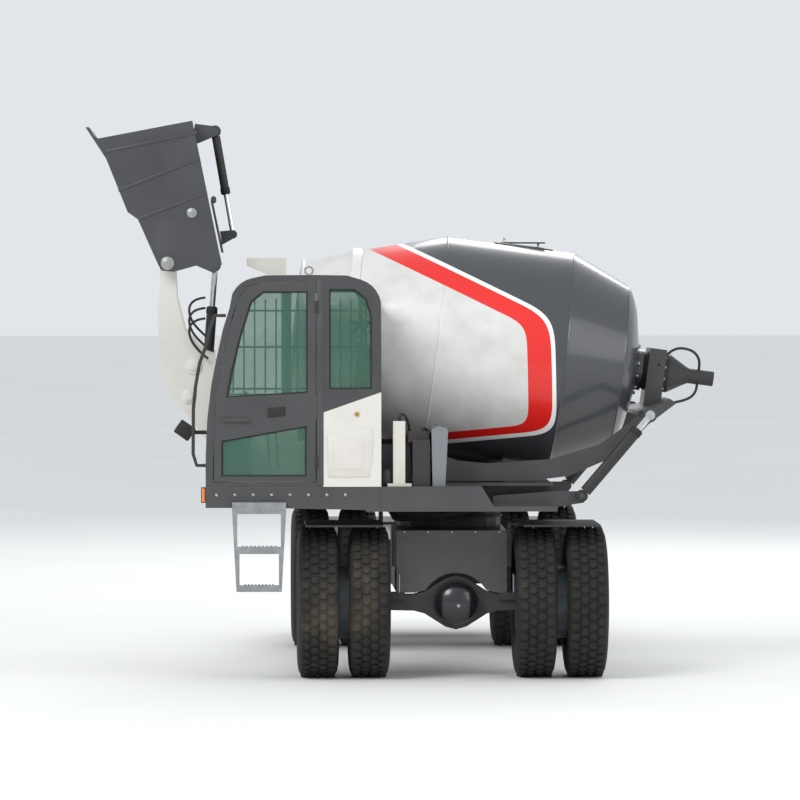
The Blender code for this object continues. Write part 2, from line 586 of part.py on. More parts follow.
# ---- service pieces on the deck ---------------------------------------------------------------------
def build_service_pieces():
    floor = DECK_TOP + GAP
    post = box((-0.429, -0.344), (-1.16, -1.07), (floor, 1.849), "lubricator_post", white_paint())
    merge(post, [box((-0.470, -0.300), (-1.20, -1.03), (floor, floor + 0.020))])
    valve = box((-0.290, -0.170), (-1.18, -0.86), (floor, 1.720), "valve_block", black_steel())
    merge(valve, [box((-0.320, -0.175), (-1.15, -0.90), (1.700, 1.775))])
    cooler = prism([(-0.150, floor), (-0.060, floor), (-0.040, 1.790), (-0.110, 1.815), (-0.158, 1.790)],
                   -1.18, -0.70, "Y", "oil_cooler", rim_paint())
    tank = box((-0.46, 0.40), (0.60 + 0.27, DECK_FAR_Y - 0.02), (floor, 1.80), "water_tank", white_paint())
    return post, valve, cooler, tank


# ---- drum, cradle and drive -------------------------------------------------------------------------
def drum_axis():
    angle = math.radians(DRUM_TILT)
    return Vector((0, DRUM_Y, DRUM_Z)), Vector((math.cos(angle), 0, -math.sin(angle)))


def build_drum():
    """Hollow drum, open at its mouth, with its roller track and drive flange."""
    start, way = drum_axis()
    wall = DRUM_WALL
    outer = [(MOUTH_S, MOUTH_RADIUS), (TRACK_S - 0.035, TRACK_RADIUS - 0.026), (TRACK_S - 0.035, TRACK_RADIUS),
             (TRACK_S + 0.035, TRACK_RADIUS), (TRACK_S + 0.035, TRACK_RADIUS - 0.010), (FRONT_SEAM_S, DRUM_RADIUS),
             (REAR_SEAM_S, DRUM_RADIUS), (TAIL_S, TAIL_RADIUS), (TAIL_S + 0.055, 0.515), (TAIL_S + 0.100, 0.36),
             (END_S, 0.20), (END_S, 0.15), (END_S + 0.045, 0.15), (END_S + 0.045, 0.0)]
    inner = [(END_S - 0.02, 0.0), (END_S - 0.02, 0.19), (TAIL_S + 0.085, 0.35), (TAIL_S + 0.045, 0.500),
             (TAIL_S - 0.004, TAIL_RADIUS - wall), (REAR_SEAM_S - 0.003, DRUM_RADIUS - wall),
             (FRONT_SEAM_S + 0.001, DRUM_RADIUS - wall), (TRACK_S, TRACK_RADIUS - 0.016 - wall - 0.006),
             (MOUTH_S, MOUTH_RADIUS - wall)]
    profile = outer + inner
    drum = turned_loop(profile, start, way, 36, "drum", white_paint())
    return smooth(drum, 25)


def turned_loop(profile, start, direction, sides, name, paint):
    """A turned shell whose outer and inner skins both end on the axis."""
    first = profile[0]
    order = profile + [first]
    way = Vector(direction).normalized()
    side = way.orthogonal().normalized()
    up = way.cross(side)
    built = bmesh.new()
    rings = []
    for along, radius in order[:-1]:
        centre = Vector(start) + way * along
        if radius == 0:
            rings.append([built.verts.new(centre)])
        else:
            rings.append([built.verts.new(centre + (side * math.cos(2 * math.pi * i / sides)
                                                    + up * math.sin(2 * math.pi * i / sides)) * radius)
                          for i in range(sides)])
    for row in range(len(rings)):
        here, after = rings[row], rings[(row + 1) % len(rings)]
        if len(here) == 1 and len(after) == 1:
            continue
        for i in range(sides):
            j = (i + 1) % sides
            if len(here) == 1:
                built.faces.new([here[0], after[j], after[i]])
            elif len(after) == 1:
                built.faces.new([here[i], here[j], after[0]])
            else:
                built.faces.new([here[i], here[j], after[j], after[i]])
    return make_object(name, built, paint)


def drum_point(along, across=0.0, rise=0.0):
    """A world point from its place along the drum axis, beside it and square above it."""
    start, way = drum_axis()
    up = Vector((-way.z, 0, way.x))
    return start + way * along + up * rise + Vector((0, across, 0))


def build_cradle():
    """Tilting cradle: two bent side plates, cross tubes, roller stands and the drive bracket."""
    plates = []
    top = [(-0.35, 1.66), (-0.073, 1.588), (0.057, 1.544), (0.258, 1.523), (0.733, 1.552), (1.092, 1.659),
           (1.42, 1.90), (1.60, 1.985)]
    bottom = [(1.64, 1.955), (1.438, 1.803), (1.258, 1.609), (1.114, 1.537), (0.862, 1.430), (0.611, 1.400),
              (0.40, 1.396), (-0.60, 1.396)]
    front = [(-0.80, 1.50), (POST_X[0], 1.555), (POST_X[0], 1.625), (-0.80, 1.655)]
    shape = arc(CRADLE_HINGE, 0.075, 285, 255, 3) + front + [(-0.62, 1.665)] + top + bottom
    for side in (-1, 1):
        y = DRUM_Y + side * CRADLE_HALF
        plate = prism(shape, y - CRADLE_PLATE / 2, y + CRADLE_PLATE / 2, "Y", "drum_cradle", dark_paint())
        cut(plate, [pin(CRADLE_HINGE, y - 0.1, y + 0.1, 0.030 / ROUND + 0.0003)])
        plates.append(plate)
    cradle = plates[0]
    low, high = DRUM_Y - CRADLE_HALF, DRUM_Y + CRADLE_HALF
    tubes = [box((-0.50, -0.40), (low, high), (1.46, 1.56)),
             box((0.30, 0.40), (low, high), (1.405, 1.475)),
             prism([(1.37, 1.862), (1.615, 1.955), (1.600, 1.985), (1.36, 1.896)], low, high, "Y")]
    # roller stands below the track
    for side in (-1, 1):
        angle = math.radians(ROLLER_ANGLE) * side
        distance = TRACK_RADIUS + ROLLER_RADIUS + 0.0005
        across, rise = math.sin(angle) * distance, -math.cos(angle) * distance
        shape = [(-0.075, 0), (-0.075, 0.028), (-0.030, 0.028), (-0.030, ROLLER_RADIUS), (0.030, ROLLER_RADIUS),
                 (0.030, 0.028), (0.075, 0.028), (0.075, 0)]
        tubes.append(turned(shape, drum_point(TRACK_S, across, rise), drum_axis()[1], 16))
        hub = drum_point(TRACK_S, across, rise)
        for low in (hub.x - 0.062, hub.x + 0.044):
            stand = [(hub.y - 0.060, hub.z + 0.050), (hub.y - 0.075, 1.553), (hub.y + 0.075, 1.553),
                     (hub.y + 0.060, hub.z + 0.050)]
            tubes.append(prism(stand, low, low + 0.018, "X"))
        tubes.append(box((-0.86, -0.35), sorted((DRUM_Y + side * 0.12, DRUM_Y + side * 0.52)), (1.525, 1.575)))
        # posts for the inlet hopper
        tubes.append(box(POST_X, sorted((DRUM_Y + side * 0.545, DRUM_Y + side * 0.580)), (1.56, 2.78)))
    floor_line = [hopper_floor(x) - GAP for x in POST_X]
    tubes.append(prism([(POST_X[0], 2.745), (POST_X[1], 2.745), (POST_X[1], floor_line[1]),
                        (POST_X[0], floor_line[0])], DRUM_Y - 0.575, DRUM_Y + 0.575, "Y"))
    # drive bracket: plate square to the drum axis, with the gearbox seat
    corners = []
    for along, rise in ((1.475, -0.30), (1.600, -0.30), (1.600, 0.17), (1.475, 0.17)):
        point = drum_point(along, 0, rise)
        corners.append((point.x, point.z))
    bracket = prism(corners, DRUM_Y - 0.19, DRUM_Y + 0.19, "Y")
    seat = turned([(1.40, 0), (1.40, 0.1423), (1.70, 0.1423), (1.70, 0)], *drum_axis(), 20)
    cut(bracket, [seat])
    tubes.append(bracket)
    # lugs for the lift cylinders' rod eyes, outboard of the side plates
    for side in (-1, 1):
        inner = DRUM_Y + side * (CRADLE_HALF - 0.02)
        y = DRUM_Y + side * (DRUM_LIFT_SIDE - EYE_HALF - EYE_PLAY)
        ex, ez = DRUM_LIFT_EYE
        tubes.append(pin(DRUM_LIFT_EYE, *sorted((inner, y)), 0.038))
        tubes.append(prism([(ex - 0.09, ez - 0.09), *arc(DRUM_LIFT_EYE, 0.055, -60, 120, 8), (ex - 0.03, ez + 0.04)],
                           *sorted((y - side * 0.03, y)), "Y"))
    return merge(cradle, [plates[1], *tubes])


def build_drive():
    """Gearbox and motor on the drum axis."""
    profile = [(END_S + 0.0455, 0.0), (END_S + 0.0455, 0.13), (1.470, 0.142), (1.640, 0.142), (1.760, 0.070),
               (1.790, 0.055), (1.975, 0.055), (1.975, 0.0)]
    return smooth(turned(profile, *drum_axis(), 20, "drum_drive", black_steel()))


def hopper_floor(x):
    """Height of the hopper floor's underside at x."""
    share = (x - HOPPER_X[0]) / (HOPPER_X[1] - HOPPER_X[0])
    return HOPPER_Z[0] + share * (HOPPER_Z[1] - HOPPER_Z[0])


def build_hopper():
    """Inlet hopper in front of the mouth, carried by the cradle's front posts."""
    near, far = DRUM_Y - 0.36, DRUM_Y + 0.36
    sheet = 0.015
    floor_shape = [(x, hopper_floor(x) + rise) for x, rise in
                   ((HOPPER_X[0], sheet), (HOPPER_X[1], sheet), (HOPPER_X[1], 0.0), (HOPPER_X[0], 0.0))]
    hopper = prism(floor_shape, near, far, "Y", "inlet_hopper", white_paint())
    sides = []
    for low in (near, far - 0.015):
        wall_end = HOPPER_X[1] - 0.075
        sides.append(prism([(HOPPER_X[0], HOPPER_Z[0]), (wall_end, hopper_floor(wall_end)), (wall_end, HOPPER_TOP),
                            (HOPPER_X[0], HOPPER_TOP)], low, low + sheet, "Y"))
    return merge(hopper, sides)


# ---- cylinders --------------------------------------------------------------------------------------
def build_cylinder(name, base, eye, y, shortest, barrel_length, radius, rod_radius):
    """A hydraulic cylinder in the plane at y: a bored barrel with its base eye, and a rod with its own eye.

    shortest is the pin distance at which the rod's inner end stops just short of the barrel's base.
    """
    start, end = Vector((base[0], y, base[1])), Vector((eye[0], y, eye[1]))
    way = (end - start).normalized()
    bore = rod_radius + EYE_PLAY
    profile = [(LUG_RADIUS + 0.004, 0.0), (LUG_RADIUS + 0.004, radius), (barrel_length, radius), (barrel_length, bore), (0.055, bore), (0.055, 0.0)]
    barrel = turned(profile, start, way, SIDES, f"{name}_barrel", black_steel())
    merge(barrel, [pin(base, y - EYE_HALF, y + EYE_HALF, LUG_RADIUS + 0.008)])
    cut(barrel, [pin(base, y - 0.1, y + 0.1, PIN_RADIUS / ROUND + 0.0003)])
    rod = rod_between(end - way * (shortest - 0.060), end - way * 0.005, rod_radius, SIDES, f"{name}_rod", chrome())
    merge(rod, [pin(eye, y - EYE_HALF, y + EYE_HALF, rod_radius * 1.35)])
    return smooth(barrel), smooth(rod)


# ---- loading arm, bucket and gate -------------------------------------------------------------------
def lift_eye():
    return polar(ARM_PIVOT, LIFT_EYE_RADIUS, LIFT_EYE_ANGLE)


def torque_tube():
    """Tube between the arm plates, with a collar at each end that clears the pivot pin."""
    reach = ARM_HALF - ARM_PLATE / 2 + 0.005
    length = 2 * reach
    profile = [(0.0, 0.045), (0.0, 0.085), (0.030, 0.085), (0.030, 0.060), (length - 0.030, 0.060),
               (length - 0.030, 0.085), (length, 0.085), (length, 0.045), (length - 0.025, 0.045),
               (length - 0.025, 0.0), (0.025, 0.0), (0.025, 0.045)]
    start = (ARM_PIVOT[0], DRUM_Y - reach, ARM_PIVOT[1])
    return turned_loop(profile, start, (0, 1, 0), SIDES, "tube", white_paint())


def build_arm():
    """Two curved arm plates joined by a torque tube, with the lift levers and the bucket pins."""
    outer = [(-2.087, 2.811), (-2.103, 2.627), (-2.100, 2.435), (-2.087, 2.242), (-2.058, 2.135), (-2.024, 2.048),
             (-1.981, 1.981), (-1.900, 1.880), (-1.760, 1.700), (-1.640, 1.520)]
    foot = arc(ARM_PIVOT, 0.100, 190, 380, 8)
    inner = [(-1.44, 1.72), (-1.54, 1.93), (-1.68, 2.20), (-1.69, 2.32), (-1.80, 2.36), (-1.904, 2.482), (-1.966, 2.724)]
    head = arc(BUCKET_PIVOT, 0.055, 0, 180, 8)
    shape = head + outer + foot + inner
    plates = []
    for side in (-1, 1):
        y = DRUM_Y + side * ARM_HALF
        plate = prism(shape, y - ARM_PLATE / 2, y + ARM_PLATE / 2, "Y", "loading_arm", white_paint())
        cut(plate, [pin(ARM_PIVOT, y - 0.1, y + 0.1, 0.030 / ROUND + 0.0003)])
        plates.append(plate)
    arm = plates[0]
    low, high = DRUM_Y - ARM_HALF, DRUM_Y + ARM_HALF
    eye_low, eye_high = (DRUM_Y + TILT_SIDE + side * (EYE_HALF + EYE_PLAY) for side in (-1, 1))
    neck = [(0.0, 0.0), (0.0, LUG_RADIUS), (eye_low - low, LUG_RADIUS), (eye_low - low, PIN_RADIUS),
            (eye_high - low, PIN_RADIUS), (eye_high - low, LUG_RADIUS), (high - low, LUG_RADIUS), (high - low, 0.0)]
    tubes = [pin((-1.881, 2.009), low, high, 0.070, 16), torque_tube(),
             turned(neck, (TILT_BASE[0], low, TILT_BASE[1]), (0, 1, 0))]
    for side in (-1, 1):
        y = DRUM_Y + side * ARM_HALF
        tubes.append(pin(BUCKET_PIVOT, *sorted((y, y + side * (BUCKET_HALF - ARM_HALF))), 0.030))
        # lever plates of the lift cylinder
        plate_low, plate_high = sorted(DRUM_Y + side * (EYE_HALF + EYE_PLAY + depth) for depth in (0.0, LUG))
        lever = [*arc(lift_eye(), 0.045, LIFT_EYE_ANGLE - 80, LIFT_EYE_ANGLE + 80, 6),
                 polar(ARM_PIVOT, 0.055, LIFT_EYE_ANGLE + 90), polar(ARM_PIVOT, 0.055, LIFT_EYE_ANGLE - 90)]
        tubes.append(prism(lever, plate_low, plate_high, "Y"))
    return merge(arm, [plates[1], *tubes])


def build_bucket():
    """Open bucket: two side plates, a lip, a folded bottom and a back with its gate opening."""
    near, far = DRUM_Y - BUCKET_HALF, DRUM_Y + BUCKET_HALF
    t = BUCKET_SHEET
    side_shape = [(-2.528, 3.861), (-2.618, 3.942), (-2.470, 3.716), (-2.316, 3.333), (-2.243, 3.282),
                  (-2.100, 2.960), (-2.075, 2.915), (-1.985, 2.905), (-1.825, 2.950), (-1.693, 2.893), (-1.640, 2.960),
                  (-1.661, 3.055), (-1.852, 3.990)]
    sides = []
    for low, high in ((near, near + t), (far - t, far)):
        plate = prism(side_shape, low, high, "Y", "bucket", dark_paint())
        cut(plate, [pin(BUCKET_PIVOT, low - 0.1, high + 0.1, 0.030 / ROUND + 0.0003)])
        sides.append(plate)
    bucket = sides[0]
    sheets = [prism([(-2.618, 3.942), (-2.470, 3.716), (-2.316, 3.333), (-2.243, 3.282), (-2.090, 3.150),
                     (-1.950, 3.070), (-1.690, 3.050), (-1.690, 3.066), (-1.943, 3.086), (-2.081, 3.164),
                     (-2.232, 3.294), (-2.303, 3.343), (-2.455, 3.722), (-2.590, 3.940)],
                    near + t * 0.5, far - t * 0.5, "Y"),
              prism([(-1.852, 3.990), (-1.868, 3.987), (-1.756, 3.440), (-1.740, 3.443)], near + t * 0.5, far - t * 0.5, "Y")]
    # bucket tilt bracket and gate cylinder bracket, in the middle plane
    for side in (-1, 1):
        near_face, far_face = (side * (EYE_HALF + EYE_PLAY + depth) for depth in (0.0, LUG))
        low, high = sorted((DRUM_Y + TILT_SIDE + near_face, DRUM_Y + TILT_SIDE + far_face))
        sheets.append(prism([(-1.86, 3.070), (-1.80, 2.98), *arc(TILT_EYE, 0.042, 200, 380, 6), (-1.66, 3.058),
                             (-1.70, 3.062)], low, high, "Y"))
        low, high = sorted((DRUM_Y + near_face, DRUM_Y + far_face))
        sheets.append(prism([(-1.850, 3.900), (-1.836, 3.985), *arc(GATE_BASE, LUG_RADIUS, 80, -90, 6), (-1.82, 3.84)],
                            low, high, "Y"))
    sheets.append(pin(GATE_BASE, DRUM_Y - EYE_HALF - LUG / 2, DRUM_Y + EYE_HALF + LUG / 2, PIN_RADIUS))
    return merge(bucket, [sides[1], *sheets])


def build_gate():
    """Back gate hung at its top edge."""
    near, far = DRUM_Y - BUCKET_HALF + 0.08, DRUM_Y + BUCKET_HALF - 0.08
    x, z = GATE_PIVOT
    gate = prism([(x - 0.022, z - 0.012), (x - 0.006, z - 0.010), (-1.628, 3.045), (-1.644, 3.043)],
                 near, far, "Y", "bucket_gate", dark_paint())
    knuckles = [pin(GATE_PIVOT, near, near + 0.12, 0.020), pin(GATE_PIVOT, far - 0.12, far, 0.020)]
    arms = []
    for side in (-1, 1):
        low, high = sorted(DRUM_Y + side * (EYE_HALF + EYE_PLAY + depth) for depth in (0.0, LUG))
        arms.append(prism([(-1.655, 3.20), (-1.640, 3.10), *arc(GATE_EYE, 0.032, -90, 90, 7)], low, high, "Y"))
    return merge(gate, knuckles + arms)


# ---- the whole truck --------------------------------------------------------------------------------
def stand_on_origin():
    """Move everything so that the origin is below the middle of the truck's outer box."""
    bpy.context.view_layer.update()
    corners = [item.matrix_world @ Vector(corner) for item in bpy.data.objects for corner in item.bound_box]
    middle = [(min(c[axis] for c in corners) + max(c[axis] for c in corners)) / 2 for axis in (0, 1)]
    ground = min(corner.z for corner in corners)
    for item in bpy.data.objects:
        item.location -= Vector((*middle, ground))


def build_truck():
    for item in list(bpy.data.objects):
        bpy.data.objects.remove(item)
    rear_axle_y = FRONT_AXLE_Y + WHEELBASE
    build_axle("front_axle", FRONT_AXLE_Y, -1)
    build_axle("rear_axle", rear_axle_y, 1)
    for end, axle_y in (("front", FRONT_AXLE_Y), ("rear", rear_axle_y)):
        for label, side in (("left", 1), ("right", -1)):
            build_wheel(f"{end}_{label}", side, axle_y)
    build_front_frame()
    build_rear_frame()
    for label, side in (("left", 1), ("right", -1)):
        build_fender(f"front_fender_{label}", side, FRONT_AXLE_Y, 0.42)
        build_fender(f"rear_fender_{label}", side, rear_axle_y, 0.42)
    build_hood()
    engine = build_engine()
    engine.name = "engine_block"
    engine.data.materials.append(black_steel())
    ring = turned([(0, RING_BORE), (0, RING_RADIUS), (RING_SPLIT - FRAME_TOP - GAP, RING_RADIUS),
                   (RING_SPLIT - FRAME_TOP - GAP, RING_BORE)], (0, 0, FRAME_TOP + GAP), (0, 0, 1), 20,
                  "slewing_ring_lower", black_steel())
    smooth(ring)
    upper = turned([(0, RING_BORE), (0, RING_RADIUS), (1.160 - RING_SPLIT - 2 * GAP, RING_RADIUS),
                    (1.160 - RING_SPLIT - 2 * GAP, RING_BORE)], (0, 0, RING_SPLIT + GAP), (0, 0, 1), 20,
                   "slewing_ring_upper", black_steel())
    smooth(upper)
    build_deck()
    build_ladder()
    build_cab()
    build_door()
    build_handrail()
    build_seat()
    build_console()
    build_service_pieces()
    build_drum()
    build_cradle()
    build_drive()
    build_hopper()
    build_arm()
    build_bucket()
    build_gate()
    build_cylinder("arm_lift", LIFT_BASE, lift_eye(), DRUM_Y, 0.67, 0.56, 0.050, 0.030)
    for label, side in (("left", -1), ("right", 1)):
        build_cylinder(f"drum_lift_{label}", DRUM_LIFT_BASE, DRUM_LIFT_EYE, DRUM_Y + side * DRUM_LIFT_SIDE,
                       0.75, 0.62, 0.042, 0.026)
    build_cylinder("bucket_tilt", TILT_BASE, TILT_EYE, DRUM_Y + TILT_SIDE, 0.50, 0.40, 0.038, 0.022)
    build_cylinder("gate", GATE_BASE, GATE_EYE, DRUM_Y, 0.57, 0.46, 0.032, 0.018)
    stand_on_origin()


build_truck()
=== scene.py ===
"""Looks of the self-loading concrete mixer truck: materials, glass, tread, trim, hoses and lamps."""
import json
import math

import bpy
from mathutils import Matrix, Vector


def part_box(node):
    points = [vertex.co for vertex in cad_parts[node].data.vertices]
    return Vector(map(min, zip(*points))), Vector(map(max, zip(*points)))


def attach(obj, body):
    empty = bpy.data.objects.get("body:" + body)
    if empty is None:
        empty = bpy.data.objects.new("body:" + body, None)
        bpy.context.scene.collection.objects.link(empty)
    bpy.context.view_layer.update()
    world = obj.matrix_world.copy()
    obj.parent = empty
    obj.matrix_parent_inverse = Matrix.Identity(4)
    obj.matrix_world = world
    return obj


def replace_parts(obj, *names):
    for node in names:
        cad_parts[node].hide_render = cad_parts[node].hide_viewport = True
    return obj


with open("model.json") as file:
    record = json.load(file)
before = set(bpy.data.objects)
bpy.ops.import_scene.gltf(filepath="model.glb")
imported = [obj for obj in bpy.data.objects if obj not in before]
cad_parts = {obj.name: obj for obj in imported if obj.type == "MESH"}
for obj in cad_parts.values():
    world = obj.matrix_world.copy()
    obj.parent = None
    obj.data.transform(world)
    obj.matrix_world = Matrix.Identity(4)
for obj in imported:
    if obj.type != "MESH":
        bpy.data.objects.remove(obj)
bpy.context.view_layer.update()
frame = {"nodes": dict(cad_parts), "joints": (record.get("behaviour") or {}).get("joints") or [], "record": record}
NODES = frame["nodes"]

# ---- places read from the frame ----
def corners_of(node_name):
    return [Vector(corner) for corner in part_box(node_name)]


def middle_of(node_name):
    low, high = corners_of(node_name)
    return (low + high) / 2


SLEW = middle_of("slewing_ring_lower")       # the slewing axis passes through here
GROUND_SINK = 0.0067                         # the tyres' flats stand this much below their round
CAB_LOW, CAB_HIGH = corners_of("cab_shell")
HOOD_LOW, HOOD_HIGH = corners_of("engine_hood")
NEAR = CAB_LOW.y                             # outer face of the cab and deck on the operator's side
MIDDLE = 0.20                                # the drum's and arm's middle plane, along Y from the axis
MM = 0.001
WELD_GAP = 0.0001                            # doubles nearer than this are one point


def at(x, y, z):
    """A world point from its place beside the slewing axis and above the ground."""
    return Vector((SLEW.x + x, SLEW.y + y, z - GROUND_SINK))


# ---- materials ----
def colour(hex_value):
    """sRGB hex to the linear colour that the shader takes."""
    channels = [int(hex_value[place:place + 2], 16) / 255 for place in (1, 3, 5)]
    return tuple(c / 12.92 if c <= 0.04045 else ((c + 0.055) / 1.055) ** 2.4 for c in channels) + (1.0,)


def node(material, kind, settings=None, **inputs):
    """Add one node. settings are its own fields; inputs are values or other nodes' outputs."""
    made = material.node_tree.nodes.new(kind)
    for field, value in (settings or {}).items():
        setattr(made, field, value)
    for label, value in inputs.items():
        key = int(label[1:]) if label[0] == "_" and label[1:].isdigit() else label.replace("_", " ")
        if isinstance(value, bpy.types.NodeSocket):
            material.node_tree.links.new(value, made.inputs[key])
        else:
            made.inputs[key].default_value = value
    return made


def new_material(name, **values):
    material = bpy.data.materials.new(name)
    material.use_nodes = True
    shader = material.node_tree.nodes["Principled BSDF"]
    for label, value in values.items():
        shader.inputs[label.replace("_", " ")].default_value = value
    return material, shader


def link(material, output, target):
    material.node_tree.links.new(output, target)


def blotches(material, size_mm, detail=4.0, stretch=(1, 1, 1)):
    """Soft noise whose blotches measure about size_mm."""
    place = node(material, "ShaderNodeTexCoord").outputs["Object"]
    mapped = node(material, "ShaderNodeMapping", None, Vector=place, Scale=stretch).outputs["Vector"]
    noise = node(material, "ShaderNodeTexNoise", None, Vector=mapped, Scale=1 / (size_mm * MM), Detail=detail)
    return noise.outputs["Fac"]


def ramp(material, factor, stops):
    """Blend through (position, hex) stops."""
    made = node(material, "ShaderNodeValToRGB", None, Fac=factor)
    elements = made.color_ramp.elements
    while len(elements) < len(stops):
        elements.new(0.5)
    for element, (position, value) in zip(elements, stops):
        element.position = position
        element.color = colour(value)
    return made.outputs["Color"]


def roughness_between(material, shader, factor, low, high):
    spread = node(material, "ShaderNodeMapRange", None, Value=factor, To_Min=low, To_Max=high)
    link(material, spread.outputs["Result"], shader.inputs["Roughness"])


def bump(material, shader, height, depth_mm, strength=0.6):
    made = node(material, "ShaderNodeBump", None, Height=height, Strength=strength, Distance=depth_mm * MM)
    link(material, made.outputs["Normal"], shader.inputs["Normal"])


def dusty(material, shader, clean, clean_light, dust, low_z, high_z):
    """Colour that is clean above high_z and gathers dust towards low_z."""
    place = node(material, "ShaderNodeTexCoord").outputs["Object"]
    height = node(material, "ShaderNodeSeparateXYZ", None, Vector=place).outputs["Z"]
    noise = blotches(material, 90)
    fade = node(material, "ShaderNodeMapRange", None, Value=height, From_Min=low_z, From_Max=high_z,
                To_Min=0.75, To_Max=0.0).outputs["Result"]
    amount = node(material, "ShaderNodeMath", {"operation": "MULTIPLY"}, _0=fade, _1=noise).outputs[0]
    base = ramp(material, blotches(material, 260), [(0.3, clean), (0.75, clean_light)])
    mixed = node(material, "ShaderNodeMix", {"data_type": "RGBA"}, Factor=amount)
    link(material, base, mixed.inputs[6])
    mixed.inputs[7].default_value = colour(dust)
    link(material, mixed.outputs[2], shader.inputs["Base Color"])
    return noise


def dark_enamel():
    """Sprayed grey machine enamel: even, half gloss, orange peel about 3 mm across, dust low down."""
    material, shader = new_material("dark_grey_machine_enamel", Coat_Weight=0.25, Coat_Roughness=0.15)
    dusty(material, shader, "#3B3B3D", "#444446", "#5E5A53", 0.3, 1.5)
    roughness_between(material, shader, blotches(material, 120), 0.34, 0.52)
    bump(material, shader, blotches(material, 3), 0.15)
    return material


def bucket_enamel():
    """Darker enamel on the bucket, half gloss, rubbed a little paler in broad soft patches."""
    material, shader = new_material("bucket_worn_enamel", Coat_Weight=0.2, Coat_Roughness=0.2)
    wear = blotches(material, 420, 3.0)
    link(material, ramp(material, wear, [(0.30, "#343538"), (0.60, "#3E3F42"), (0.80, "#4A4C4F")]),
         shader.inputs["Base Color"])
    roughness_between(material, shader, wear, 0.36, 0.55)
    bump(material, shader, blotches(material, 4), 0.12)
    return material


def chassis_black():
    """Brushed-on black chassis paint, satin, with road dust."""
    material, shader = new_material("black_chassis_paint")
    dusty(material, shader, "#262626", "#303030", "#57524A", 0.0, 0.9)
    roughness_between(material, shader, blotches(material, 60), 0.45, 0.70)
    bump(material, shader, blotches(material, 5), 0.2)
    return material


def cream_enamel():
    """Warm white gloss enamel on the cab, arm and hood, a little uneven in tone."""
    material, shader = new_material("warm_white_gloss_enamel", Coat_Weight=0.4, Coat_Roughness=0.08)
    dusty(material, shader, "#D3CFC8", "#DBD8D1", "#AFA48F", 0.6, 1.9)
    roughness_between(material, shader, blotches(material, 150), 0.24, 0.38)
    bump(material, shader, blotches(material, 4), 0.1)
    return material


PANEL_TOP, PANEL_SLOPE = 2.237, 0.35         # the white panel's slanted upper edge
PANEL_FRONT = 0.926                          # how far its front edge stands before the slewing axis
SIDE_WALL = 0.02                             # thickness of the cab's dark side


def cab_enamel():
    """Dark grey enamel on the operator's side; warm white on its lower rear panel and the other sides."""
    material, shader = new_material("cab_two_tone_enamel", Coat_Weight=0.35, Coat_Roughness=0.1)
    greater = {"operation": "GREATER_THAN"}
    place = node(material, "ShaderNodeTexCoord").outputs["Object"]
    x, y, z = node(material, "ShaderNodeSeparateXYZ", None, Vector=place).outputs
    slant = node(material, "ShaderNodeMath", {"operation": "MULTIPLY_ADD"},
                 _0=x, _1=-PANEL_SLOPE, _2=z).outputs[0]
    below = node(material, "ShaderNodeMath", {"operation": "LESS_THAN"},
                 _0=slant, _1=PANEL_TOP - PANEL_SLOPE * SLEW.x - GROUND_SINK).outputs[0]
    behind = node(material, "ShaderNodeMath", greater, _0=x, _1=SLEW.x - PANEL_FRONT).outputs[0]
    panel = node(material, "ShaderNodeMath", {"operation": "MULTIPLY"}, _0=below, _1=behind).outputs[0]
    inside = node(material, "ShaderNodeMath", greater, _0=y, _1=NEAR + SIDE_WALL).outputs[0]
    white = node(material, "ShaderNodeMath", {"operation": "MAXIMUM"}, _0=panel, _1=inside).outputs[0]
    tones = blotches(material, 150)
    dark = ramp(material, tones, [(0.3, "#38383A"), (0.7, "#414143")])
    light = ramp(material, tones, [(0.3, "#D3CFC8"), (0.7, "#DBD8D1")])
    mixed = node(material, "ShaderNodeMix", {"data_type": "RGBA"}, Factor=white)
    link(material, dark, mixed.inputs[6])
    link(material, light, mixed.inputs[7])
    link(material, mixed.outputs[2], shader.inputs["Base Color"])
    roughness_between(material, shader, tones, 0.26, 0.42)
    bump(material, shader, blotches(material, 4), 0.1)
    return material


WHITE_LINE = 0.029                           # the line between the red band and the dark paint


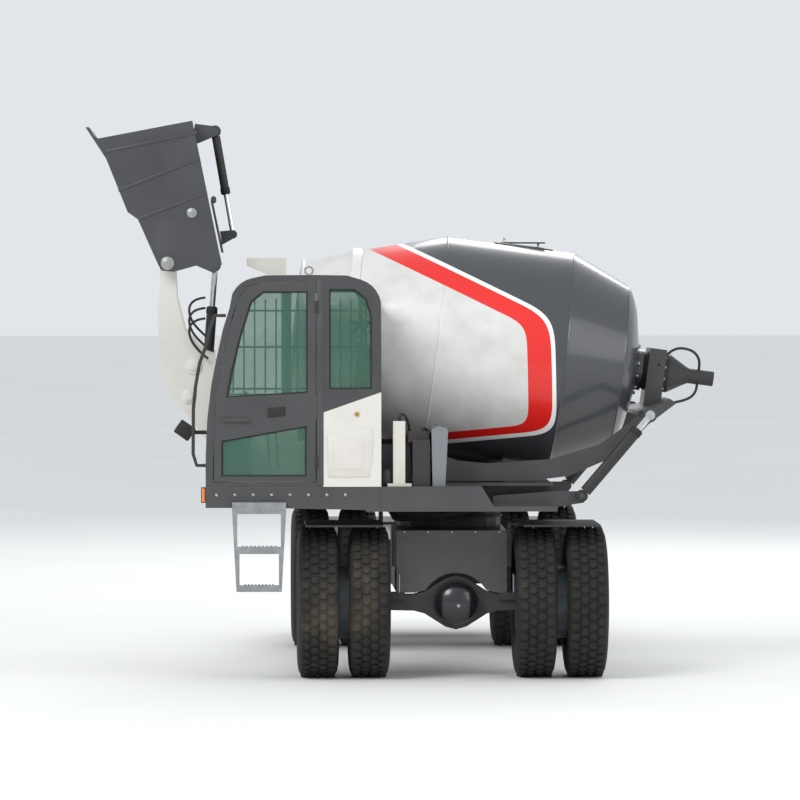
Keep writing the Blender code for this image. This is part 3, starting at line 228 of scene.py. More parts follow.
def drum_enamel():
    """Drum paint in two tones, with a red band and a white line where they meet."""
    material, shader = new_material("drum_two_tone_enamel", Coat_Weight=0.4, Coat_Roughness=0.1)
    place = node(material, "ShaderNodeTexCoord").outputs["Object"]
    x, _, z = node(material, "ShaderNodeSeparateXYZ", None, Vector=place).outputs
    greater, smoothly = {"operation": "GREATER_THAN"}, {"operation": "SMOOTH_MAX"}

    def edge(x_share, z_share, offset):
        """Signed distance from a straight edge: x_share * x + z_share * z - offset."""
        moved = offset + x_share * SLEW.x - z_share * GROUND_SINK
        across = node(material, "ShaderNodeMath", {"operation": "MULTIPLY"}, _0=x, _1=x_share)
        total = node(material, "ShaderNodeMath", {"operation": "MULTIPLY_ADD"},
                     _0=z, _1=z_share, _2=across.outputs[0])
        beyond = node(material, "ShaderNodeMath", {"operation": "SUBTRACT"}, _0=total.outputs[0], _1=moved)
        return beyond.outputs[0]

    def outline(top, rear, bottom, rounding):
        """Rounded corner shape made of three straight edges."""
        first = node(material, "ShaderNodeMath", smoothly,
                     _0=edge(0.441, 0.897, top), _1=edge(1.0, 0.03, rear), _2=rounding).outputs[0]
        return node(material, "ShaderNodeMath", smoothly,
                    _0=first, _1=edge(0.10, -0.995, bottom), _2=rounding).outputs[0]

    outer = outline(2.650, 0.825, -1.651, 0.24)
    inner = outline(2.502, 0.622, -1.736, 0.16)
    line_edge = node(material, "ShaderNodeMath", greater, _0=outer, _1=0.0).outputs[0]
    red_edge = node(material, "ShaderNodeMath", greater, _0=outer, _1=-WHITE_LINE).outputs[0]
    band_edge = node(material, "ShaderNodeMath", greater, _0=inner, _1=0.0).outputs[0]
    grime = blotches(material, 200, 6.0)
    light = ramp(material, grime, [(0.35, "#CDCCC8"), (0.60, "#D9D9D6")])
    last = light
    for factor, value in ((band_edge, "#E21C12"), (red_edge, "#F2F2EF"), (line_edge, "#3F4144")):
        mixed = node(material, "ShaderNodeMix", {"data_type": "RGBA"}, Factor=factor)
        link(material, last, mixed.inputs[6])
        mixed.inputs[7].default_value = colour(value)
        last = mixed.outputs[2]
    link(material, last, shader.inputs["Base Color"])
    roughness_between(material, shader, grime, 0.26, 0.42)
    bump(material, shader, blotches(material, 350, 2.0), 2.0, 0.25)
    return material


def tyre_rubber():
    """Black tyre rubber, dull, greyed with brown road dust on its tread."""
    material, shader = new_material("road_dusty_tyre_rubber", Specular_IOR_Level=0.35)
    dust = [(0.42, "#262523"), (0.60, "#302E2A"), (0.76, "#4B4439")]
    link(material, ramp(material, blotches(material, 330, 3.0), dust), shader.inputs["Base Color"])
    roughness_between(material, shader, blotches(material, 30), 0.75, 0.95)
    bump(material, shader, blotches(material, 4), 0.3)
    return material


def rim_enamel():
    """Grey-blue rim enamel with brake dust."""
    material, shader = new_material("rim_grey_enamel")
    link(material, ramp(material, blotches(material, 80), [(0.35, "#5F686D"), (0.70, "#76828A")]),
         shader.inputs["Base Color"])
    roughness_between(material, shader, blotches(material, 40), 0.40, 0.62)
    bump(material, shader, blotches(material, 5), 0.15)
    return material


def hard_chrome():
    """Ground and polished hard chrome on the cylinder rods."""
    material, shader = new_material("hard_chrome_plate", Metallic=1.0)
    link(material, ramp(material, blotches(material, 25), [(0.3, "#C9CBCD"), (0.7, "#DADCDE")]),
         shader.inputs["Base Color"])
    roughness_between(material, shader, blotches(material, 12), 0.08, 0.20)
    return material


def cooler_fins():
    """Mill-finish aluminium fins, 4 mm apart so that they show, with painted shade in the darker bands between
    them.
    """
    material, shader = new_material("finned_aluminium_with_painted_gap_shade", Metallic=1.0)
    place = node(material, "ShaderNodeTexCoord").outputs["Object"]
    wave = node(material, "ShaderNodeTexWave", {"bands_direction": "Z"}, Vector=place, Scale=80.0)
    wave = wave.outputs["Fac"]
    # the darker ramp colour on the bands is painted shade in the gaps between the fins
    link(material, ramp(material, wave, [(0.2, "#6B7074"), (0.8, "#A4A8AB")]), shader.inputs["Base Color"])
    roughness_between(material, shader, wave, 0.35, 0.55)
    bump(material, shader, wave, 1.0)
    return material


def seat_vinyl():
    """Black grained vinyl, grain 2 mm across."""
    material, shader = new_material("black_grained_vinyl")
    link(material, ramp(material, blotches(material, 60), [(0.3, "#1C1C1D"), (0.7, "#29292A")]),
         shader.inputs["Base Color"])
    shader.inputs["Roughness"].default_value = 0.55
    place = node(material, "ShaderNodeTexCoord").outputs["Object"]
    grain = node(material, "ShaderNodeTexVoronoi", None, Vector=place, Scale=500.0).outputs["Distance"]
    bump(material, shader, grain, 0.4)
    return material


def window_glass():
    """Green-tinted float glass, mostly clear."""
    material, shader = new_material("green_tinted_glass", IOR=1.45, Alpha=0.32, Coat_Weight=0.3)
    link(material, ramp(material, blotches(material, 600, 1.0), [(0.3, "#4A7A66"), (0.7, "#5A8A76")]),
         shader.inputs["Base Color"])
    roughness_between(material, shader, blotches(material, 500, 1.0), 0.02, 0.05)
    return material


def plain_finish(name, dark, light, rough, size_mm=20, metallic=0.0, **values):
    """A finish with two close tones and its own roughness."""
    material, shader = new_material(name, Metallic=metallic, **values)
    link(material, ramp(material, blotches(material, size_mm), [(0.3, dark), (0.7, light)]),
         shader.inputs["Base Color"])
    roughness_between(material, shader, blotches(material, size_mm / 2), rough * 0.85, min(1.0, rough * 1.15))
    return material


DARK = dark_enamel()
BUCKET = bucket_enamel()
BLACK = chassis_black()
CREAM = cream_enamel()
DRUM = drum_enamel()
TYRE = tyre_rubber()
RIM = rim_enamel()
CHROME = hard_chrome()
GLASS = window_glass()
DOME = plain_finish("axle_gloss_black_enamel", "#15161A", "#1D1E22", 0.28, 120, Coat_Weight=0.5)
SEAL = plain_finish("black_window_rubber", "#1A1A1A", "#262626", 0.7)
LADDER = plain_finish("weathered_grey_enamel", "#7A7C7E", "#929496", 0.55, 60)
BOLT = plain_finish("zinc_plated_steel", "#9A9C9B", "#B4B6B4", 0.38, 8, 1.0)
HOSE = plain_finish("black_hydraulic_hose_rubber", "#181818", "#242424", 0.6, 10)
ORANGE_LENS = plain_finish("amber_lamp_lens", "#F07010", "#FF8A2A", 0.15, 12, Coat_Weight=0.8)
RED_LENS = plain_finish("red_lamp_lens", "#B01010", "#D02018", 0.15, 12, Coat_Weight=0.8)
BRASS = plain_finish("brass_lock", "#A8853A", "#C4A052", 0.35, 8, 1.0)
LABEL = plain_finish("blank_aluminium_plate", "#B8BABC", "#CFD1D2", 0.4, 15, 0.6)

FINISH_OF_SLOT = {
    "dark_grey_paint": DARK, "white_paint": CREAM, "black_steel": BLACK, "seat_vinyl": seat_vinyl(),
    "cooler_aluminium": cooler_fins(), "rim_grey_paint": RIM, "tyre_rubber": TYRE, "chromed_rod": CHROME,
}
FINISH_OF_NODE = {
    "cab_shell": cab_enamel(), "drum": DRUM, "bucket": BUCKET, "bucket_gate": BUCKET, "ladder": LADDER,
}
for part in frame["record"]["subparts"]:
    solid = NODES[part["node"]]
    solid.data.materials.clear()
    solid.data.materials.append(FINISH_OF_NODE.get(part["node"], FINISH_OF_SLOT[part["material_slot"]]))


# ---- modelling helpers ----
def deselect():
    bpy.ops.object.select_all(action="DESELECT")


def extrude(way):
    bpy.ops.mesh.extrude_region_move(TRANSFORM_OT_translate={"value": way})


def modelled():
    """Leave edit mode and give the object that was being modelled."""
    bpy.ops.object.mode_set(mode="OBJECT")
    return bpy.context.object


def place_piece(name, body, finish, bevel=0.0, angle=30):
    """Bevel, smooth, name and hang up the piece that is being modelled."""
    piece = modelled()
    bpy.ops.object.transform_apply(location=True, rotation=True, scale=True)
    if bevel:
        edge = piece.modifiers.new("edge", "BEVEL")
        edge.width = bevel
        edge.segments = 2
        edge.limit_method = "ANGLE"
        bpy.ops.object.modifier_apply(modifier="edge")
    bpy.ops.object.shade_smooth_by_angle(angle=math.radians(angle))
    piece.name = name
    piece.data.name = name
    piece.data.materials.clear()
    piece.data.materials.append(finish)
    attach(piece, body)
    return piece


def start_block(low, high):
    """A block between two corners, left in edit mode and selected."""
    deselect()
    low, high = Vector(low), Vector(high)
    bpy.ops.mesh.primitive_cube_add(size=1, location=(low + high) / 2)
    bpy.ops.object.mode_set(mode="EDIT")
    bpy.ops.transform.resize(value=high - low)


def start_sheet(corners, depth):
    """A plate from its corners, pushed out by the vector depth, left in edit mode."""
    deselect()
    bpy.ops.mesh.primitive_circle_add(vertices=len(corners), radius=1, fill_type="NGON")
    for vertex, corner in zip(bpy.context.object.data.vertices, corners):
        vertex.co = corner
    bpy.ops.object.mode_set(mode="EDIT")
    bpy.ops.mesh.select_all(action="SELECT")
    extrude(depth)
    bpy.ops.mesh.select_all(action="SELECT")
    bpy.ops.mesh.normals_make_consistent(inside=False)


def start_round(centre, axis, radius, length, sides=24):
    """A round bar about its centre, left in edit mode with its outer end cap selected."""
    deselect()
    turn = Vector(axis).to_track_quat("Z", "Y").to_euler()
    bpy.ops.mesh.primitive_cylinder_add(vertices=sides, radius=radius, depth=length,
                                        location=centre, rotation=turn)
    bpy.ops.object.transform_apply(location=True, rotation=True, scale=True)
    far = Vector(centre) + Vector(axis).normalized() * length / 2
    for face in bpy.context.object.data.polygons:
        face.select = (face.center - far).length < 0.001
    bpy.ops.object.mode_set(mode="EDIT")
    bpy.ops.mesh.select_mode(type="FACE")


def join(pieces, name):
    deselect()
    for piece in pieces:
        piece.select_set(True)
    bpy.context.view_layer.objects.active = pieces[0]
    bpy.ops.object.join()
    pieces[0].name = name
    return pieces[0]


def line_through(name, points, radius, closed):
    """A round line as a mesh: a smooth open one with end caps, or a closed one with corners."""
    deselect()
    curve = bpy.data.curves.new(name, "CURVE")
    curve.dimensions = "3D"
    curve.bevel_depth = radius
    curve.bevel_resolution = 2 if closed else 3
    curve.use_fill_caps = not closed
    curve.resolution_u = 8
    spline = curve.splines.new("POLY" if closed else "NURBS")
    spline.points.add(len(points) - 1)
    for target, point in zip(spline.points, points):
        target.co = (*point, 1)
    spline.use_cyclic_u = closed
    spline.use_endpoint_u = not closed
    line = bpy.data.objects.new(name, curve)
    bpy.context.scene.collection.objects.link(line)
    line.select_set(True)
    bpy.context.view_layer.objects.active = line
    bpy.ops.object.convert(target="MESH")


def hose(name, points, radius, body):
    line_through(name, points, radius, closed=False)
    return place_piece(name, body, HOSE, angle=40)


# ---- turned shells ----
def turn_profile(profile, start, way, steps):
    """Spin an outline, given as (along, radius), about the axis through start; left in edit mode."""
    start, way = Vector(start), Vector(way).normalized()
    side = way.orthogonal().normalized()
    deselect()
    bpy.ops.mesh.primitive_circle_add(vertices=len(profile), radius=1, fill_type="NOTHING")
    outline = bpy.context.object
    for vertex, (along, radius) in zip(outline.data.vertices, profile):
        vertex.co = start + way * along + side * radius
    outline.location = (0, 0, 0)
    bpy.ops.object.mode_set(mode="EDIT")
    bpy.ops.mesh.select_mode(type="EDGE")
    bpy.ops.mesh.select_all(action="SELECT")
    bpy.ops.mesh.spin(steps=steps, angle=2 * math.pi, center=start, axis=way)
    bpy.ops.mesh.select_all(action="SELECT")
    bpy.ops.mesh.remove_doubles(threshold=WELD_GAP)
    bpy.ops.mesh.normals_make_consistent(inside=False)


# ---- wheels ----
TYRE_HALF = 0.1475
RIM_SEAT = 0.257
TYRE_ROUND = 0.543
GROOVE = 0.014
BLOCK_ROOT = 0.006                           # how deep a tread block is set into the crown
BLOCK_EDGE = 0.55                            # a block's sides against its tips, so that it is a hexagon
BLOCK_FILL = 0.40                            # half of a block's length against the tread's pitch
TREAD_STEPS = 44
BLOCK_ROWS = ((-0.122, -0.066), (-0.056, -0.005), (0.005, 0.056), (0.066, 0.122))
RIM_INNER, RIM_OUTER = 0.592, 0.957          # the twin tyres' middles from the slewing axis
HAIR = 0.0005                                # keeps turned faces off their axis and off the tyre


def tyre(node_name, wheel):
    """Round carcass with a shoulder and grooved crown, and the blocks that stand on it."""
    middle = middle_of(node_name)
    base = TYRE_ROUND - GROUND_SINK - GROOVE
    profile = [(-0.105, RIM_SEAT), (-0.112, 0.285), (-0.134, 0.330), (-0.145, 0.380), (-TYRE_HALF, 0.410),
               (-0.145, 0.450), (-0.138, 0.490), (-0.128, base - 0.012), (-0.118, base), (0.118, base),
               (0.128, base - 0.012), (0.138, 0.490), (0.145, 0.450), (TYRE_HALF, 0.410), (0.145, 0.380),
               (0.134, 0.330), (0.112, 0.285), (0.105, RIM_SEAT)]
    turn_profile(profile, middle, (1, 0, 0), 88)
    parts = [modelled()]
    pitch = 2 * math.pi / TREAD_STEPS
    for row, (left, right) in enumerate(BLOCK_ROWS):
        tip = pitch * base * BLOCK_FILL
        edge = tip * BLOCK_EDGE
        centre = (left + right) / 2
        hexagon = ((left, -edge), (left, edge), (centre, tip), (right, edge), (right, -edge), (centre, -tip))
        corners = [Vector((middle.x + x, middle.y + y, middle.z + base - BLOCK_ROOT)) for x, y in hexagon]
        start_sheet(corners, Vector((0, 0, GROOVE + BLOCK_ROOT)))
        bpy.ops.mesh.bevel(offset=0.003, segments=1, affect="EDGES")
        bpy.ops.mesh.select_all(action="SELECT")
        bpy.ops.transform.rotate(value=(row % 2) * pitch / 2, orient_axis="X", center_override=middle)
        bpy.ops.mesh.spin(steps=TREAD_STEPS - 1, dupli=True, angle=pitch * (TREAD_STEPS - 1),
                          center=middle, axis=(1, 0, 0))
        parts.append(modelled())
    join(parts, f"{node_name}_with_tread")
    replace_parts(place_piece(f"{node_name}_with_tread", wheel, TYRE, angle=35), node_name)


def rim(wheel, side):
    """Smooth twin rim: two barrels, the disc between them and its hub bowl."""
    middle = middle_of(f"{wheel}_rim")
    inner, outer = RIM_INNER, RIM_OUTER
    disc = (inner + outer) / 2
    start = Vector((SLEW.x, middle.y, middle.z))
    seat = RIM_SEAT - HAIR
    profile = [(inner - 0.120, 0.276), (inner - 0.109, 0.276), (inner - 0.108, seat), (outer + 0.108, seat),
               (outer + 0.109, 0.276), (outer + 0.120, 0.276), (outer + 0.119, 0.242), (outer + 0.02, 0.236),
               (disc + 0.022, 0.225), (disc + 0.012, 0.140), (outer + 0.045, 0.122), (outer + 0.062, 0.110),
               (outer + 0.066, 0.060), (outer + 0.074, 0.050), (outer + 0.074, HAIR), (disc - 0.06, HAIR),
               (disc - 0.06, 0.046), (inner - 0.074, 0.046), (inner - 0.074, 0.195), (disc - 0.030, 0.222),
               (inner - 0.119, 0.242)]
    turn_profile(profile, start, (side, 0, 0), 72)
    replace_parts(place_piece(f"{wheel}_rim_smooth", f"{wheel}_wheel", RIM), f"{wheel}_rim")


NUTS = 10


def wheel_nuts(wheel, side):
    """Hub cap and its nuts on the outer wheel disc."""
    low, high = corners_of(f"{wheel}_rim")
    middle = (low + high) / 2
    face = high.x if side > 0 else low.x
    out = Vector((side, 0, 0))
    hub = Vector((face - side * 0.028, middle.y, middle.z))
    start_round(hub, out, 0.085, 0.04)
    bpy.ops.mesh.inset(thickness=0.018)
    bpy.ops.transform.translate(value=out * 0.010)
    bpy.ops.mesh.inset(thickness=0.030)
    bpy.ops.transform.translate(value=out * 0.004)
    cap = modelled()
    disc_x = side * (abs(face - SLEW.x) - 0.075) + SLEW.x
    start_round((disc_x, middle.y, middle.z + 0.165), out, 0.016, 0.045, 6)
    bpy.ops.mesh.inset(thickness=0.005)
    extrude(out * 0.010)
    bpy.ops.mesh.select_all(action="SELECT")
    bpy.ops.mesh.spin(steps=NUTS - 1, dupli=True, angle=2 * math.pi * (NUTS - 1) / NUTS,
                      center=(disc_x, middle.y, middle.z), axis=(1, 0, 0))
    join([cap, modelled()], f"{wheel}_hub_cap_and_nuts")
    return place_piece(f"{wheel}_hub_cap_and_nuts", f"{wheel}_wheel", BOLT)


for end in ("front", "rear"):
    for label, way in (("left", 1), ("right", -1)):
        rim(f"{end}_{label}", way)
        wheel_nuts(f"{end}_{label}", way)
        for row in ("inner", "outer"):
            tyre(f"{end}_{label}_tyre_{row}", f"{end}_{label}_wheel")


# ---- cab ----
GLASS_THICK = 0.006
GLASS_INSET = 0.014                          # how far a near pane's outer face stands inside the cab's side
SEAL_RADIUS = 0.016


def seal(name, corners, radius, body):
    """Rubber profile round a window's edge."""
    line_through(name, corners, radius, closed=True)
    return place_piece(name, body, SEAL, angle=40)


def pane(name, corners, depth, body):
    """A window pane with a ground edge, and its rubber."""
    start_sheet(corners, depth)
    place_piece(name, body, GLASS, bevel=0.0015)
    seal(f"{name}_seal", [corner + depth * 0.5 for corner in corners], SEAL_RADIUS, body)


def side_outline(points, y):
    return [at(x, 0, z) * Vector((1, 0, 1)) + Vector((0, y, 0)) for x, z in points]


THICK = Vector((0, GLASS_THICK, 0))
NEAR_PANE = NEAR + GLASS_INSET
UPPER_WINDOW = [(-1.611, 2.018), (-1.035, 2.050), (-1.035, 2.770), (-1.353, 2.770), (-1.440, 2.700),
                (-1.520, 2.450), (-1.585, 2.180)]
LOWER_WINDOW = [(-1.646, 1.460), (-1.043, 1.460), (-1.043, 1.819), (-1.646, 1.714)]
QUARTER_WINDOW = [(-0.885, 2.077), (-0.580, 2.077), (-0.580, 2.60), (-0.62, 2.72), (-0.70, 2.785),
                  (-0.885, 2.785)]
FAR_WINDOW = [(-1.60, 2.02), (-0.60, 2.02), (-0.60, 2.65), (-0.68, 2.77), (-1.36, 2.77), (-1.47, 2.69)]
FAR_Y = CAB_HIGH.y
pane("door_upper_glass", side_outline(UPPER_WINDOW, NEAR_PANE), THICK, "cab_door")
pane("door_lower_glass", side_outline(LOWER_WINDOW, NEAR_PANE), THICK, "cab_door")
pane("quarter_glass", side_outline(QUARTER_WINDOW, NEAR_PANE), THICK, "deck")
pane("far_side_glass", side_outline(FAR_WINDOW, FAR_Y - 0.020), THICK, "deck")


def cross_outline(x, corners):
    """Corners given as (y, z) on a wall across the cab."""
    return [Vector((at(x, 0, 0).x, y, z - GROUND_SINK)) for y, z in corners]


REAR_X = -0.535
REAR_MARGIN = 0.09
REAR_WINDOW = [(NEAR + REAR_MARGIN, 2.10), (FAR_Y - REAR_MARGIN, 2.10), (FAR_Y - REAR_MARGIN, 2.60),
               (NEAR + REAR_MARGIN, 2.60)]
pane("rear_glass", cross_outline(REAR_X, REAR_WINDOW), Vector((GLASS_THICK, 0, 0)), "deck")
SCREEN_FRONT = [(-1.7565, 1.62), (-1.7505, 1.80), (-1.738, 1.98), (-1.716, 2.12), (-1.686, 2.26),
                (-1.655, 2.40), (-1.628, 2.52), (-1.590, 2.64)]
SCREEN_INSET, SCREEN_MARGIN = 0.016, 0.07
deselect()
bpy.ops.mesh.primitive_grid_add(x_subdivisions=1, y_subdivisions=len(SCREEN_FRONT) - 1, size=1)
screen = bpy.context.object
for vertex in screen.data.vertices:
    step = round((vertex.co.y + 0.5) * (len(SCREEN_FRONT) - 1))
    x, z = SCREEN_FRONT[step]
    y = NEAR + SCREEN_MARGIN if vertex.co.x < 0 else FAR_Y - SCREEN_MARGIN
    vertex.co = Vector((at(x + SCREEN_INSET, 0, 0).x, y, z - GROUND_SINK))
thickness = screen.modifiers.new("glass", "SOLIDIFY")
thickness.thickness = GLASS_THICK
bpy.ops.object.modifier_apply(modifier="glass")
bpy.ops.object.mode_set(mode="EDIT")
bpy.ops.mesh.select_all(action="SELECT")
bpy.ops.mesh.normals_make_consistent(inside=False)
place_piece("windscreen_glass", "deck", GLASS)


def cab_grille():
    """Guard bars inside the far window: uprights with three cross bars."""
    bars = []
    y = FAR_Y - 0.052
    bottom = 2.03
    for index in range(13):
        x = -1.56 + index * 0.077
        top = 2.70 if x > -1.45 else 2.60
        start_round((at(x, 0, 0).x, y, (bottom + top) / 2), (0, 0, 1), 0.006, top - bottom, 8)
        bars.append(modelled())
    for z in (2.06, 2.36, 2.62):
        start_round((at(-1.10, 0, 0).x, y - 0.006, z), (1, 0, 0), 0.007, 0.98, 8)
        bars.append(modelled())
    join(bars, "far_window_guard")
    place_piece("far_window_guard", "deck", HOSE)


def fan():
    """Small cab fan below the roof: ring cage, hub and five blades."""
    centre = at(-0.66, -0.98, 2.53)
    parts = []
    for radius in (0.085, 0.055, 0.028):
        deselect()
        bpy.ops.mesh.primitive_torus_add(location=centre, rotation=(math.pi / 2, 0, 0), major_radius=radius,
                                         minor_radius=0.003, major_segments=28, minor_segments=6)
        parts.append(bpy.context.object)
    start_block(centre + Vector((-0.015, 0.010, 0.012)), centre + Vector((0.015, 0.014, 0.075)))
    bpy.ops.mesh.bevel(offset=0.001)
    bpy.ops.mesh.select_all(action="SELECT")
    bpy.ops.transform.rotate(value=0.35, orient_axis="Z", center_override=centre)
    bpy.ops.mesh.spin(steps=4, dupli=True, angle=2 * math.pi * 0.8, center=centre, axis=(0, 1, 0))
    parts.append(modelled())
    start_round(centre + Vector((0, 0.02, 0)), (0, -1, 0), 0.024, 0.05, 20)
    bpy.ops.mesh.inset(thickness=0.008)
    parts.append(modelled())
    start_block(centre + Vector((-0.010, 0.03, 0.0)), centre + Vector((0.010, 0.045, 0.30)))
    parts.append(modelled())
    join(parts, "cab_fan")
    place_piece("cab_fan", "deck", HOSE, bevel=0.0006)


def levers():
    """Two control levers with ball knobs beside the seat."""
    parts = []
    for y in (-1.08, -0.72):
        for x in (-1.24, -1.30):
            base, top = at(x, y, 1.50), at(x - 0.03, y, 1.93)
            start_round((base + top) / 2, top - base, 0.007, (top - base).length, 10)
            parts.append(modelled())
            deselect()
            bpy.ops.mesh.primitive_uv_sphere_add(radius=0.020, location=top, segments=16, ring_count=10)
            parts.append(bpy.context.object)
    join(parts, "control_levers")
    place_piece("control_levers", "deck", HOSE)


def cab_trim():
    latch = [(-1.318, 1.878), (-1.195, 1.890), (-1.195, 1.954), (-1.318, 1.944)]
    start_sheet(side_outline(latch, NEAR - 0.008), Vector((0, 0.008, 0)))
    place_piece("door_latch_plate", "cab_door", SEAL, bevel=0.003)
    lock = side_outline([(-0.688, 1.901)], NEAR - 0.004)[0]
    start_round(lock, (0, -1, 0), 0.016, 0.012, 20)
    bpy.ops.mesh.inset(thickness=0.005)
    extrude((0, 0.003, 0))
    place_piece("side_panel_lock", "deck", BRASS, bevel=0.001)
    panel = [(-0.897, 1.749), (-0.592, 1.808), (-0.569, 1.738), (-0.598, 1.457), (-0.891, 1.457)]
    start_sheet(side_outline(panel, NEAR - 0.006), Vector((0, 0.006, 0)))
    place_piece("side_hatch", "deck", CREAM, bevel=0.003)
    plate = [(-0.856, 1.509), (-0.645, 1.509), (-0.645, 1.743), (-0.856, 1.722)]
    start_sheet(side_outline(plate, NEAR - 0.009), Vector((0, 0.003, 0)))
    place_piece("side_hatch_plate", "deck", CREAM, bevel=0.001)
    pillar = [(-0.970, 1.40), (-0.924, 1.40), (-0.924, 2.85), (-0.970, 2.85)]
    start_sheet(side_outline(pillar, NEAR - 0.004), Vector((0, 0.004, 0)))
    place_piece("door_pillar_cover", "deck", DARK, bevel=0.0015)
    for z in (1.56, 2.66):
        start_round(at(-0.972, -1.256, z), (0, 0, 1), 0.011, 0.085, 16)
        bpy.ops.mesh.inset(thickness=0.003)
        place_piece(f"door_hinge_{int(z * 100)}", "deck", BLACK, bevel=0.001)
    deselect()
    bpy.ops.mesh.primitive_torus_add(location=at(-1.02, -0.85, 2.915), rotation=(math.pi / 2, 0, 0),
                                     major_radius=0.028, minor_radius=0.007,
                                     major_segments=24, minor_segments=10)
    ring = bpy.context.object
    start_round(at(-1.02, -0.85, 2.888), (0, 0, 1), 0.022, 0.012, 20)
    bpy.ops.mesh.inset(thickness=0.006)
    join([modelled(), ring], "roof_lifting_eye")
    place_piece("roof_lifting_eye", "deck", BOLT)


cab_grille()
fan()
levers()
cab_trim()


# ---- lamps ----
def lamp(name, low, high, finish, body, housing=0.006):
    """A lens that bulges from a black housing towards -Y."""
    low, high = Vector(low), Vector(high)
    start_block(low, high)
    place_piece(f"{name}_housing", body, SEAL, bevel=0.002)
    lens_low = low + Vector((housing, -0.012, housing))
    lens_high = Vector((high.x - housing, low.y + 0.001, high.z - housing))
    start_block(lens_low, lens_high)
    bpy.ops.mesh.bevel(offset=0.004, segments=3, affect="EDGES")
    place_piece(f"{name}_lens", body, finish)


def work_lamp():
    """Square work lamp on a bracket in front of the cab, turned down towards the bucket."""
    centre = at(-1.905, -0.97, 1.780)
    start_block(centre + Vector((-0.062, -0.07, -0.052)), centre + Vector((0.062, 0.07, 0.052)))
    bpy.ops.mesh.select_all(action="SELECT")
    bpy.ops.transform.rotate(value=math.radians(-35), orient_axis="Y", center_override=centre)
    bpy.ops.mesh.bevel(offset=0.008, segments=2, affect="EDGES")
    housing = modelled()
    start_round(at(-1.815, -0.97, 1.765), (1, 0, 0), 0.014, 0.13, 16)
    bpy.ops.mesh.inset(thickness=0.004)
    join([modelled(), housing], "work_lamp")
    place_piece("work_lamp", "deck", SEAL)


work_lamp()
lamp("deck_marker_lamp", at(-1.789, -1.245, 1.275), at(-1.7575, -1.19, 1.384), ORANGE_LENS, "deck")
LAMP_FAR, LAMP_NEAR = 0.06, 0.012            # the hood lamps' sides from the hood's edge
LAMP_DEPTH = 0.016
front = HOOD_LOW.y
for label, left, right in (("right", HOOD_LOW.x + LAMP_NEAR, HOOD_LOW.x + LAMP_FAR),
                           ("left", HOOD_HIGH.x - LAMP_FAR, HOOD_HIGH.x - LAMP_NEAR)):
    for level, bottom, top, lens in (("upper", 0.895, 0.950, ORANGE_LENS), ("lower", 0.845, 0.893, RED_LENS)):
        lamp(f"hood_{label}_{level}_lamp", (left, front - LAMP_DEPTH, bottom), (right, front - HAIR, top), lens,
             "rear_chassis")


# ---- hood ----
def hood_louvres():
    """Slats across the opening in the hood's rear wall."""
    slats = []
    back = HOOD_HIGH.y
    for index in range(7):
        z = HOOD_LOW.z + 0.165 + index * 0.036
        start_block((SLEW.x - 0.278, back - 0.018, z), (SLEW.x + 0.278, back - 0.004, z + 0.006))
        bpy.ops.mesh.select_all(action="SELECT")
        bpy.ops.transform.rotate(value=math.radians(-28), orient_axis="X",
                                 center_override=(SLEW.x, back - 0.011, z))
        slats.append(modelled())
    join(slats, "hood_rear_louvres")
    place_piece("hood_rear_louvres", "rear_chassis", DARK, bevel=0.001)


hood_louvres()


# ---- ring, frame and axle ----
def bolt_circle(name, centre, radius, count, body, axis=(0, 0, 1), size=0.014, height=0.012):
    """Hexagon heads on a circle about an axis."""
    axis = Vector(axis).normalized()
    arm = axis.orthogonal().normalized() * radius
    start_round(Vector(centre) + arm + axis * height / 2, axis, size, height, 6)
    bpy.ops.mesh.inset(thickness=size * 0.3)
    bpy.ops.transform.translate(value=axis * 0.002)
    bpy.ops.mesh.select_all(action="SELECT")
    bpy.ops.mesh.spin(steps=count - 1, dupli=True, angle=2 * math.pi * (count - 1) / count,
                      center=centre, axis=axis)
    return place_piece(name, body, BOLT)


def bolt_row(name, first, step, count, axis, body, size=0.012, height=0.010):
    """Hexagon heads in a straight row."""
    axis = Vector(axis)
    heads = []
    for index in range(count):
        start_round(Vector(first) + Vector(step) * index + axis * height / 2, axis, size, height, 6)
        bpy.ops.mesh.inset(thickness=size * 0.3)
        bpy.ops.transform.translate(value=axis * 0.002)
        heads.append(modelled())
    join(heads, name)
    return place_piece(name, body, BOLT)


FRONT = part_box("front_frame")[0][1]
bolt_row("frame_top_bolts", (SLEW.x - 0.34, FRONT, 1.040), (0.17, 0, 0), 5, (0, -1, 0), "front_chassis",
         0.009, 0.006)
start_block(at(-0.13, -0.4135, 1.118), at(-0.045, -0.380, 1.154))
place_piece("ring_blank_plate", "deck", LABEL, bevel=0.001)
start_round(at(0, 0, 1.135), (0, 0, 1), 0.402, 0.022, 96)
bpy.ops.mesh.inset(thickness=0.03)
place_piece("ring_dust_lip", "deck", SEAL, bevel=0.003)
BALL = at(0.03, -0.953, 0.540)
deselect()
bpy.ops.mesh.primitive_uv_sphere_add(radius=0.152, location=BALL + Vector((0, 0.055, 0)),
                                     segments=48, ring_count=24)
bpy.ops.object.mode_set(mode="EDIT")
bpy.ops.transform.resize(value=(1, 0.55, 1))
place_piece("front_axle_dome", "front_chassis", DOME)
start_round(BALL + Vector((0.012, -0.018, -0.012)), (0, -1, 0), 0.013, 0.03, 6)
bpy.ops.mesh.inset(thickness=0.004)
place_piece("front_axle_plug", "front_chassis", BOLT, bevel=0.001)
for label, x in (("left", 0.41), ("right", -0.41)):
    studs = []
    for y in (-0.81, -0.69):
        start_round(at(x + 0.035, y, 0.66), (0, 0, 1), 0.011, 0.16, 12)
        bpy.ops.mesh.inset(thickness=0.003)
        studs.append(modelled())
    join(studs, f"front_axle_{label}_studs")
    place_piece(f"front_axle_{label}_studs", "front_chassis", BOLT)


